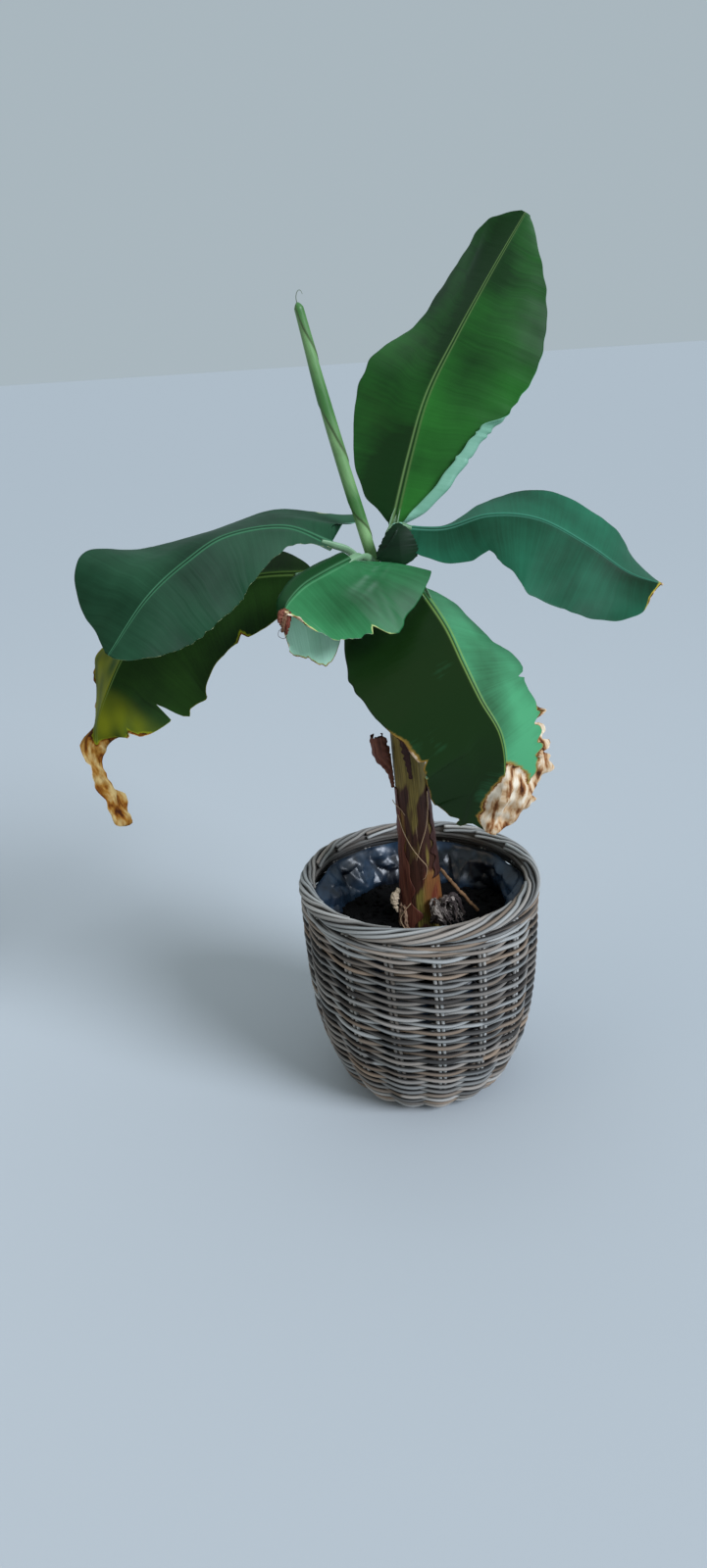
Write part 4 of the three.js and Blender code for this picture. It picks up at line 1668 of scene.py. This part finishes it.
@dataclass
class Channel:
    """A channelled strip: a round back and a groove along its face, such as a petiole or sheath.

    Attributes:
        rows: knots of [x, y, z, back radius, half-angle, middle thickness], in mm and degrees.
        guide: the direction, or one per knot, that its back faces.
        steps: steps along it.
        arc: points over its back.
        edge: thickness of its edges, in mm.
        ragged: how uneven its edges are, as a share.
        rough: how far its face is crumpled, in mm.
        seed: picks the unevenness.
    """

    rows: Array
    guide: Array
    steps: int = 50
    arc: int = 17
    edge: float = 0.5
    ragged: float = 0.3
    rough: float = 0.8
    seed: int = 1

    def add_to(self, batch: Batch, tone: Array | Colour) -> None:
        """Adds the strip to a batch.

        Args:
            batch: where it goes.
            tone: RGBA for the strip, or one per step as (steps, 1, 4).
        """
        s = np.linspace(0, 1, self.steps)
        table = catmull(self.rows, s)
        centre = table[:, :3]
        radius, half, middle = table[:, 3:].T[..., None]
        guide = catmull(self.guide, s) if self.guide.ndim == 2 else self.guide
        phi = np.linspace(-1, 1, self.arc)
        down = s[:, None]
        left, right = (1 + self.ragged * Ripple(0.22, self.seed + k, 8).at(down)[:, None] for k in range(2))
        spread = np.where(phi < 0, left, right) * phi * np.radians(half)
        thick = self.edge + (middle - self.edge) * np.cos(phi * math.pi / 2) ** 2
        outer = radius + self.rough * Ripple(0.9, self.seed + 5, 10).at(paired(down * 6, spread))
        facing = about(centre, guide, spread)
        back, face = (centre[:, None] + reach[..., None] * facing for reach in (outer, outer - thick))
        width = spread * radius
        turn = np.concatenate([width, width[:, ::-1], width[:, :1]], 1)
        grain = paired(distances(centre)[:, None], turn) * MM
        batch.grid(np.concatenate([back, face[:, ::-1]], 1) * MM, grain, tone, around=True, ends=True)


@dataclass
class Stem:
    """Pseudostem, its dead sheaths and fibres, the crown's petioles and the rolled leaf.

    Attributes:
        rows: knots of [x, y, z, radius] from the soil to the crown, in mm.
        spear_rows: the same for the rolled leaf.
        skin_span: lowest and highest mm of the skin, its top hidden in the crown.
        mean_radius: the stem's mean radius, in mm.
        spear_turns: turns of the rolled leaf's seam.
        spear_size: length of the rolled leaf and way round it, in metres.
        crown_ring: radius of the ring that the petioles stand on, in mm.
        wraps: of each living sheath's edge, its angle at 300 mm in degrees, its drift per mm and its
            height in mm.
        dead: of each dead zone of the skin, the middle angle, half-angle, lowest and highest mm, and
            drift in degrees per mm.
        sheaths: of each dead sheath, the heights of its foot and top in mm, its middle angles and
            half-angles there, how far it stands off in mm, and its tone.
        fibres: of each loose fibre, the (height, angle, clearance) of its knots.
    """

    rows: tuple[tuple[float, ...], ...] = (
        (4, 0, 300.3, 41), (3, 0, 330, 36), (1, -1, 410, 32.5), (-4, -2, 520, 27.5), (-11, -3, 640, 25.5),
        (-19, -3, 760, 24), (-26, -3, 850, 23),
    )
    spear_rows: tuple[tuple[float, ...], ...] = (
        (-26, -3, 850.3, 7), (-42, -5, 895, 8.2), (-66, -4, 985, 9), (-100, 0, 1120, 9), (-132, 4, 1268, 6.5),
    )
    skin_span: tuple[float, float] = (300.3, 846)
    mean_radius: float = 28
    spear_turns: float = 4.2
    spear_size: tuple[float, float] = (0.43, 0.056)
    crown_ring: float = 15
    wraps: tuple[tuple[float, ...], ...] = ((20, 0.16, 1.8), (150, -0.12, 1.5), (262, 0.1, 1.6))
    dead: tuple[tuple[float, ...], ...] = (
        (262, 14, 596, 640, -0.1), (345, 55, 330, 545, -0.03), (240, 44, 290, 556, -0.12),
        (222, 30, 330, 420), (262, 14, 300, 360), (90, 52, 290, 560, -0.05), (40, 26, 420, 690),
        (135, 22, 500, 760, 0.04), (300, 12, 590, 700, 0.05), (30, 40, 296, 400), (75, 10, 600, 840),
        (215, 8, 620, 800),
    )
    sheaths: tuple[tuple, ...] = (
        (301, 552, (214, 194), (48, 11), 1.1, (0.55, 0.3, 0, 1)),
        (392, 566, (348, 338), (34, 10), 1.2, (0.66, 0, 0, 1)),
        (301, 590, (92, 80), (56, 10), 1.2, (0.6, 0.1, 0, 1)),
        (360, 690, (40, 34), (20, 7), 1.0, (0.55, 0.1, 0, 1)),
        (480, 748, (138, 146), (26, 8), 0.9, (0.6, 0, 0, 1)),
        (572, 640, (268, 258), (5, 17), 0.5, (0.7, 0, 0, 1)),
    )
    fibres: tuple[tuple[tuple[float, ...], ...], ...] = (
        ((506, 208, 2.5), (480, 230, 4), (455, 252, 5), (436, 272, 7), (420, 286, 8), (402, 282, 5),
         (396, 274, 3)),
        ((545, 322, 2), (518, 312, 4), (486, 296, 5), (456, 276, 4), (430, 262, 2)),
        ((528, 188, 6), (524, 205, 5), (518, 224, 3), (508, 236, 1)),
        ((350, 238, 2), (336, 226, 8), (322, 222, 14), (310, 236, 16), (302, 248, 12)),
        ((560, 100, 1), (520, 84, 5), (470, 96, 5), (430, 80, 2)),
    )

    def at_height(self, z: Array) -> Array:
        """Finds the stem at heights, all in mm.

        Args:
            z: (n,) heights.

        Returns:
            (n, 4) rows of the centre's x, y and z and the radius.
        """
        knots = np.array(self.rows, float)
        table = catmull(knots, np.interp(z, knots[:, 2], np.arange(len(knots))) / (len(knots) - 1))
        table[:, 2] = z
        return table

    def beside(self, z: float, degrees: float, clear: float, radius: float = 0) -> Array:
        """Centre of a piece that lies beside the stem, as the frame places it."""
        x, y, _, stem = self.at_height(np.array([z]))[0]
        return polar(stem + clear + radius, math.radians(degrees), z) + (x, y, 0)

    def core(self, finish: Material) -> Piece:
        """Builds the stem: wrapped sheaths whose edges stand up, coloured by zone.

        Args:
            finish: the skin's finish.

        Returns:
            The piece, at the origin.
        """
        z = np.linspace(*self.skin_span, 230)
        table = self.at_height(z)
        angle = circle(120)
        degrees, level = np.degrees(angle), z[:, None]
        wraps = np.zeros((len(z), len(angle)))
        for start, drift, height in self.wraps:
            place = ((degrees - start - drift * (level - 300)) % 360) / 360
            wraps += height * (1 - place) ** 2 * (1 - smooth(0.985, 1.0, place))
        skin = polar(1, angle, level / 90)
        radius = table[:, 3, None] - 2.4 + wraps + 0.5 * Ripple(1.1, 51, 8).at(skin)
        points = (table[:, None, :3] + radius[..., None] * polar(1, angle, 0)) * MM
        grain = paired(level, np.append(angle, TURN) * self.mean_radius) * MM
        batch = Batch()
        batch.grid(points, grain, self.zones(degrees, level, skin), around=True, ends=True)
        return batch.build("pseudostem_sheaths", finish)

    def zones(self, degrees: Array, level: Array, skin: Array) -> Array:
        """Colour zones of the stem's skin.

        Args:
            degrees: (n,) angles round the stem.
            level: (m, 1) heights in mm.
            skin: (m, n, 3) places for the uneven edges.

        Returns:
            (m, n, 4) tones: dead with darkening towards the foot, rust, fresh and 1.
        """
        wobble = 9 * Ripple(0.9, 52, 8).at(skin * (1, 1, 0.55))

        def zone(middle: float, half: float, low: float, high: float, drift: float = 0.0) -> Array:
            """Share of each point in a zone of the skin.

            Args:
                middle: its middle angle at its foot, in degrees.
                half: its half-angle, in degrees.
                low: height of its foot.
                high: height of its top.
                drift: degrees that its middle moves per mm.

            Returns:
                (m, n) shares.
            """
            off = np.abs((degrees - middle - drift * (level - low) + 180) % 360 - 180) + wobble
            uneven = level + wobble
            rise = smooth(low - 14, low + 14, uneven) * (1 - smooth(high - 16, high + 16, uneven))
            return (1 - smooth(half - 7, half + 7, off)) * rise

        dead = np.maximum.reduce([zone(*plan) for plan in self.dead] + [0.9 * zone(264, 36, 380, 486, 0.05)])
        rust = np.maximum.reduce([
            zone(314, 32, 322, 410, 0.12), 0.5 * zone(150, 30, 320, 380), 0.55 * zone(200, 20, 420, 500)])
        fresh = np.maximum(zone(275, 26, 300, 372), 0.5 * zone(60, 20, 300, 350))
        fresh = np.maximum(fresh, 0.7 * smooth(760, 840, level))
        dead *= 1 - np.maximum(rust, 0.8 * zone(275, 22, 300, 362))
        # The skin darkens in random patches and towards its foot; this goes in with the dead tone.
        dark = 0.2 * Ripple(0.7, 54, 8).at(skin) + 0.5 * (1 - smooth(320, 540, level))
        return paired(dead * 0.6 + dark * (1 - fresh), rust * 0.62, fresh * 0.5, 1.0)

    def dead_sheaths(self, finish: Material, fibre: Material) -> Piece:
        """Builds the dead sheaths that hug the stem and the loose fibres that cross them.

        Args:
            finish: the sheaths' finish.
            fibre: the fibres' finish.

        Returns:
            Both as one piece, at the origin.
        """
        batch = Batch()
        s = np.linspace(0, 1, 6)
        for number, (low, high, middle, half, lift, tone) in enumerate(self.sheaths):
            table = self.at_height(low + (high - low) * s)
            turn, spread = (first + (last - first) * s for first, last in (middle, half))
            radius = table[:, 3] + lift * (0.45 + 0.55 * s)
            rows = np.column_stack([table[:, :3], radius, spread, np.full(len(s), 1.1)])
            guide = polar(1, np.radians(turn), 0)
            Channel(rows, guide, 70, 25, 0.5, 0.22, 0.55, 60 + 7 * number).add_to(batch, tone)
        along = np.linspace(0, 1, 40)
        for knots in self.fibres:
            path = catmull([self.beside(*knot) for knot in knots], along) * MM
            batch.rod(path, (0.75 - 0.35 * along) * MM, (0, 0, 0, 1), sides=6, slot=1)
        return batch.build("dead_sheaths", finish, fibre)

    def petiole(self, shape: LeafShape, finish: Material) -> Piece:
        """Builds one petiole: a sheath round the crown that draws in to a channelled stalk.

        Args:
            shape: its leaf.
            finish: the stalk's finish.

        Returns:
            The petiole, at the origin.
        """
        out = polar(1, math.radians(shape.crown_angle), 0)
        base, ahead, further = catmull(shape.table, np.array([0.0, 1e-3, 0.05]))[:, :3]
        along = unit(ahead - base)
        upward = np.cross(unit(np.cross(along, np.array(shape.up, float))), along)
        skin = 0.4 + 0.5 * shape.rank
        # Each knot: place, distance of its face from there, back radius, half-angle, thickness.
        knots = []
        for z, back, half in ((742, 25, 50), (800, 24.2, 58)):
            x, y, _, stem = self.at_height(np.array([z]))[0]
            knots.append(((x, y, z) + out * (stem - 7 + skin), 7.0, back, half, 1.6))
        crown = np.array(self.rows[-1][:3], float)
        knots.append((crown + out * (self.crown_ring + skin * 0.5) + UP * 0.3, 7.0, 17.0, 82, 3.0))
        for number, point in enumerate(shape.stalk):
            knots.append((np.array(point, float), 6.6, 10.0 - 1.6 * number, 108, 5.2))
        knots.append((base - along * 0.3, 6.0, 7.0, 112, 5.4))
        knots.append((further - upward * 2.5, 4.0, 4.6, 118, 4.2))
        guides, rows = [], []
        for number, (point, core, back, half, thick) in enumerate(knots):
            share = np.clip((number - 1) / (len(knots) - 3), 0, 1)
            guides.append(unit(out * (1 - share) - upward * share))
            rows.append([*(point + guides[-1] * (core - back)), back, half, thick])
        s = np.linspace(0, 1, 90)
        tone = paired(smooth(0.3, 0.8, s) * 0.9, 0.35 * (1 - smooth(0.1, 0.34, s)), 0.0, 1.0)[:, None]
        batch = Batch()
        strip = Channel(np.array(rows), np.array(guides), 90, 17, 0.9, 0.0, 0.0)
        strip.add_to(batch, tone)
        return batch.build(f"leaf_stalk_{shape.name}", finish)

    def spear(self, finish: Material) -> Piece:
        """Builds the rolled leaf: one sheet wound on itself, its edge a spiral seam.

        Args:
            finish: the leaf's finish.

        Returns:
            The piece, at the origin.
        """
        t = np.linspace(0, 1, 260)
        down = t[:, None]
        table = catmull(self.spear_rows, t)
        path = table[:, :3]
        angle = circle(64)
        place = (angle / TURN + self.spear_turns * down + 0.05 * Ripple(0.2, 71, 6).at(down)[:, None]) % 1
        close = np.sqrt(np.clip((1 - down) / 0.012, 0.05, 1))
        radius = table[:, 3, None] * close * (0.93 + 0.15 * (1 - place) * (1 - smooth(0.93, 1.0, place)))
        points = (path[:, None] + radius[..., None] * about(path, FRONT, angle)) * MM
        uneven = 0.35 * Ripple(0.2, 72, 6).at(down)[:, None]
        body = 0.18 + 0.6 * (1 - down) ** 2 + 0.5 * (place - 0.5) + uneven
        tone = paired(body, 0.85 * bell(np.minimum(place, 1 - place) / 0.035), 0.0, 1.0)
        length, around = self.spear_size
        along = down * length
        batch = Batch()
        grain = paired(along, np.linspace(0, around, 65) + 0.35 * along)
        batch.grid(points, grain, tone, around=True, ends=True)
        knots = np.array([[0, 0, -2], [-1, 0, 5], [0, 0, 11], [3, 1, 15], [6, 1, 14], [8, 0, 10]]) + path[-1]
        thread = catmull(knots, np.linspace(0, 1, 30)) * MM
        batch.rod(thread, np.linspace(0.6, 0.3, 30) * MM, (0, 1, 0, 1), sides=6)
        return batch.build("rolled_leaf", finish)


@dataclass
class DryRemains:
    """Dead stub, scraps of sheath and a fallen stick, beside the stem.

    Attributes:
        stem: the stem that they lie against.
        ribbons: strips in the crumpled scrap.
    """

    stem: Stem
    ribbons: int = 18

    def rows(self, plan: tuple[tuple[float, ...], ...], shape: tuple[tuple[float, float], ...]) -> Array:
        """Knots for a curled strip.

        Args:
            plan: (height, angle, clear, radius) as the frame has them.
            shape: half-angle and middle thickness at each knot.

        Returns:
            Rows for a Channel.
        """
        return np.array([[*self.stem.beside(*row), row[3], *section] for row, section in zip(plan, shape)])

    def stub(self, finish: Material) -> Piece:
        """Builds the dead petiole stub: a curled, folded husk that stands off the stem.

        Args:
            finish: the dead tissue's finish.

        Returns:
            The piece, at the origin.
        """
        plan = ((550, 186, 0.4, 2.5), (578, 190, 1, 5), (611, 193, 3, 13.5), (643, 192, 7, 13))
        batch = Batch()
        rows = self.rows(plan, ((120, 1.4), (125, 1.2), (132, 1.1), (95, 1.0)))
        outer = Channel(rows, np.array([-0.7, -0.7, 0.1]), 80, 31, 0.6, 0.12, 0.8, 21)
        outer.add_to(batch, (0.5, 0.35, 0, 1))
        rows[:, 3] *= 0.6
        rows[:, 4] = 80
        inner = Channel(rows, np.array([0.6, -0.8, 0.1]), 60, 21, 0.6, 0.2, 0.7, 25)
        inner.add_to(batch, (0.75, 0.05, 0, 1))
        return batch.build("dead_stub_husk", finish)

    def left_scrap(self, finish: Material) -> Piece:
        """Builds the pale scrap on the soil to the left of the stem.

        Args:
            finish: the dead tissue's finish.

        Returns:
            The piece, at the origin.
        """
        plan = ((330, 208, 8, 2), (342, 203, 7, 5), (354, 199, 5, 7), (368, 195, -0.3, 3))
        batch = Batch()
        rows = self.rows(plan, ((50, 1.0), (75, 1.2), (95, 1.2), (60, 0.9)))
        Channel(rows, np.array([-0.5, -0.8, 0.2]), 70, 25, rough=0.9, seed=31).add_to(batch, (0.2, 0, 0, 1))
        for number, turn in enumerate((214, 228)):
            plan = ((344, turn - 10, 1, 2), (330, turn, 5, 3), (314, turn + 4, 7, 3), (303, turn + 10, 3, 2))
            rows = self.rows(plan, ((50, 0.8), (70, 1.0), (70, 1.0), (50, 0.8)))
            Channel(rows, np.array([0.4, -0.8, 0.4]), seed=34 + number).add_to(batch, (0.75, 0.1, 0, 1))
        return batch.build("pale_sheath_scrap", finish)

    def right_scrap(self, finish: Material) -> Piece:
        """Builds the crumpled scraps on the soil to the right of the stem.

        Args:
            finish: the dead tissue's finish.

        Returns:
            The piece, at the origin.
        """
        rng = np.random.default_rng(41)
        batch = Batch()
        for number in range(self.ribbons):
            turn, far = rng.uniform(284, 340), rng.uniform(5, 36)
            low, crest = rng.uniform(303, 310), rng.uniform(318, 356)
            plan = (
                (low + 8, turn, -1.5, 2.0), (crest, turn + rng.uniform(-4, 6), far * 0.35, rng.uniform(3, 6)),
                (crest - rng.uniform(0, 8), turn + rng.uniform(0, 12), far * 0.7, rng.uniform(3, 6)),
                (low + rng.uniform(0, 12), turn + rng.uniform(2, 16), far, 2.0),
            )
            sections = ((50, 0.9), (rng.uniform(50, 110), 1.1), (rng.uniform(40, 100), 1.0), (40, 0.7))
            rows = self.rows(plan, sections)
            guide = rng.normal(size=3) + (0, -0.5, 0.8)
            tone = (rng.uniform(0.1, 0.7), 0, 0, 1)
            Channel(rows, guide, 60, 19, rough=1.4, seed=41 + number).add_to(batch, tone)
        return batch.build("crumpled_sheath_scrap", finish)

    @staticmethod
    def tip_curl(finish: Material) -> Piece:
        """Builds the shrivelled curl and its thread at the front leaf's tip.

        Args:
            finish: the dead tissue's finish.

        Returns:
            The piece, at the origin.
        """
        batch = Batch()
        tip = np.array([-171, -200, 901.0])
        plan = (
            ((0, 0, 0), (-7, -3, -4), (-9, -4, -14), (-4, -3, -22), 4.0, (0.35, 0.5, 0, 1)),
            ((2, 1, -1), (-3, -4, -9), (-6, -6, -20), (-8, -4, -29), 3.2, (0.1, 0.1, 0.6, 1)),
            ((4, 0, -3), (2, -3, -12), (-1, -5, -22), (-3, -3, -33), 3.0, (0.6, 0.6, 0, 1)),
        )
        for number, (*knots, size, tone) in enumerate(plan):
            grown = zip(knots, (0.5, 1, 0.9, 0.4))
            rows = np.array([[*(tip + knot), size * grow, 100, 0.8] for knot, grow in grown])
            Channel(rows, np.array([0.3, -0.9, 0.2]), seed=95 + number).add_to(batch, tone)
        loop = np.array([[-6, -4, -24], [-12, -5, -27], [-13, -5, -34], [-7, -4, -38], [-2, -4, -35]]) + tip
        batch.rod(catmull(loop, np.linspace(0, 1, 30)) * MM, 0.35 * MM, (0.9, 0, 0, 1), sides=6)
        return batch.build("tip_curl", finish)

    def stick(self, finish: Material) -> Piece:
        """Builds the fallen stick that leans from the stem to the soil.

        Args:
            finish: the wood's finish.

        Returns:
            The piece, at the origin.
        """
        plan = ((398, 348, -0.4, 2.5), (355, 3, 22, 3.2), (304, 6, 52, 2.8))
        s = np.linspace(0, 1, 60)
        table = catmull([[*self.stem.beside(*row), row[3]] for row in plan], s)
        path = table[:, :3] + 0.5 * paired(*(Ripple(0.3, 81 + k, 6).at(s[:, None]) for k in range(3)))
        girth = table[:, 3] * (1 + 0.14 * Ripple(0.12, 85, 8).at(s[:, None]))
        batch = Batch()
        batch.rod(path * MM, girth * MM, (0.3, 0.2, 0, 1), sides=12)
        return batch.build("leaning_stick", finish)


# The studio round the plant.


@dataclass
class Studio:
    """Camera at the photograph's place, pale floor and soft light.

    Attributes:
        eye: the camera's place, in metres.
        pitch: degrees that it looks down.
        roll: degrees that it leans.
        lens: focal length for a 36 mm frame, in mm.
        aim: where the lights point, in metres.
    """

    eye: tuple[float, float, float] = (-0.098, -1.655, 1.285)
    pitch: float = 23.74
    roll: float = 3.7
    lens: float = 26
    aim: tuple[float, float, float] = (0, 0, 0.7)

    def camera(self) -> None:
        """Places the camera and makes it the scene's."""
        data = bpy.data.cameras.new("photo_camera")
        data.lens = self.lens
        data.sensor_width = 36
        data.sensor_fit = "AUTO"
        data.clip_start = 0.05
        data.clip_end = 60
        camera = bpy.data.objects.new("photo_camera", data)
        tilt = Matrix.Rotation(math.radians(90 - self.pitch), 4, "X")
        lean = Matrix.Rotation(-math.radians(self.roll), 4, "Z")
        camera.matrix_world = Matrix.Translation(Vector(self.eye)) @ tilt @ lean
        bpy.context.scene.collection.objects.link(camera)
        bpy.context.scene.camera = camera

    def floor(self) -> None:
        """Lays a plain pale floor."""
        bpy.ops.object.select_all(action="DESELECT")
        bpy.ops.mesh.primitive_plane_add(size=40, location=(0, 0, -0.0005))
        floor = bpy.context.object
        floor.name = "studio_floor"
        material = bpy.data.materials.new("pale_floor")
        material.use_nodes = True
        shader = material.node_tree.nodes["Principled BSDF"]
        shader.inputs["Base Color"].default_value = linear("#b4b9bc")
        shader.inputs["Roughness"].default_value = 0.8
        floor.data.materials.append(material)

    def lights(self) -> None:
        """Hangs cool daylight at the right and a weak warm light at the left, under a pale sky."""
        plan = (
            ("daylight", "SUN", (1.8, -1.5, 2.3), {"angle": math.radians(26)}, 3.5, "#e8f1ff"),
            ("bounce", "AREA", (-3.4, -1.8, 1.9), {"shape": "DISK", "size": 2.4}, 14, "#ffe2c4"),
            ("ceiling", "AREA", (-0.2, 0.4, 3.2), {"shape": "DISK", "size": 2.4}, 12, "#f2f6ff"),
        )
        for name, kind, place, settings, power, colour in plan:
            data = bpy.data.lights.new(name, kind)
            for key, value in settings.items():
                setattr(data, key, value)
            data.energy = power
            data.color = linear(colour)[:3]
            light = bpy.data.objects.new(name, data)
            light.location = place
            light.rotation_euler = (Vector(self.aim) - light.location).to_track_quat("-Z", "Y").to_euler()
            bpy.context.scene.collection.objects.link(light)
        world = bpy.data.worlds.new("pale_studio")
        bpy.context.scene.world = world
        world.use_nodes = True
        sky = world.node_tree.nodes["Background"]
        sky.inputs["Color"].default_value = linear("#cfdfe8")
        sky.inputs["Strength"].default_value = 0.64


def main() -> None:
    """Builds the plant over the frame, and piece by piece."""
    logging.basicConfig(level=logging.INFO, format="%(name)s %(message)s")
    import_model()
    studio = Studio()
    studio.camera()
    studio.floor()
    studio.lights()
    bpy.context.scene.view_settings.view_transform = "Standard"

    rattan = WeatheredRattan().material()
    basket = Basket()
    hand_over(basket.wall_piece(rattan), "rattan", "basket_shell")
    hand_over(basket.border_piece(rattan), "rattan", "basket_border")
    filling = LinerAndSoil(basket)
    hand_over(filling.liner(BlackFilm().material()), "film", "basket_liner")
    hand_over(filling.soil(PottingSoil().material()), "soil", "potting_soil")

    stem = Stem()
    remains = DryRemains(stem)
    skin = Sheath("banana_sheath_living").material()
    husk = Sheath("banana_sheath_dead", "#6a4a3a", "#3a1f1b", "#7a3826", "#6a5138").material()
    fibre = Sheath("dry_fibre", "#b89a78", "#b08c66", "#a9825c", "#b89a78", 0.75).material()
    hand_over(stem.core(skin), "pseudostem", "pseudostem")
    hand_over(stem.dead_sheaths(husk, fibre), "dry_sheath")
    stalk = WaxyStalk("banana_petiole").material()
    under = LeafSkin("banana_leaf_underside", "#4c8464", "#86b8a0", "#9dba8c", 0.36, 0.2, wax=0.45,
                     relief=0.0008, follows=0.1).material()
    for shape in LEAVES:
        hand_over(stem.petiole(shape, stalk), "petiole", f"petiole_{shape.name}")
        blade = Blade(shape).piece(under)
        if shape.name == "right":
            join(blade, Blade(BASE_LOBE, rows=60, columns=20, least_half=2).piece(under))
        if shape.name == "front":
            join(blade, remains.tip_curl(husk))
        hand_over(blade, "leaf", *shape.nodes)
    rolled = WaxyStalk("rolled_leaf_skin", "#3a6a30", "#86ac72", "#42522c").material()
    hand_over(stem.spear(rolled), "petiole", "spear_leaf")

    pale = Sheath("pale_dry_sheath", "#b9a58c", "#7d6552", "#9a6a44", "#a89a80", 0.8).material()
    ashen = Sheath("ashen_dry_sheath", "#8c8178", "#3d3432", "#6a4a38", "#9a8c7c", 0.85).material()
    twig = Sheath("dead_twig", "#7a5c40", "#4a3426", "#6a4a30", "#8a6a4c", 0.8).material()
    hand_over(remains.stub(husk), "dry_sheath", "dead_petiole_stub")
    hand_over(remains.left_scrap(pale), "dry_sheath", "sheath_scrap_left")
    hand_over(remains.right_scrap(ashen), "dry_sheath", "sheath_scrap_right")
    hand_over(remains.stick(twig), "dry_sheath", "fallen_stick")


if __name__ == "__main__":
    main()
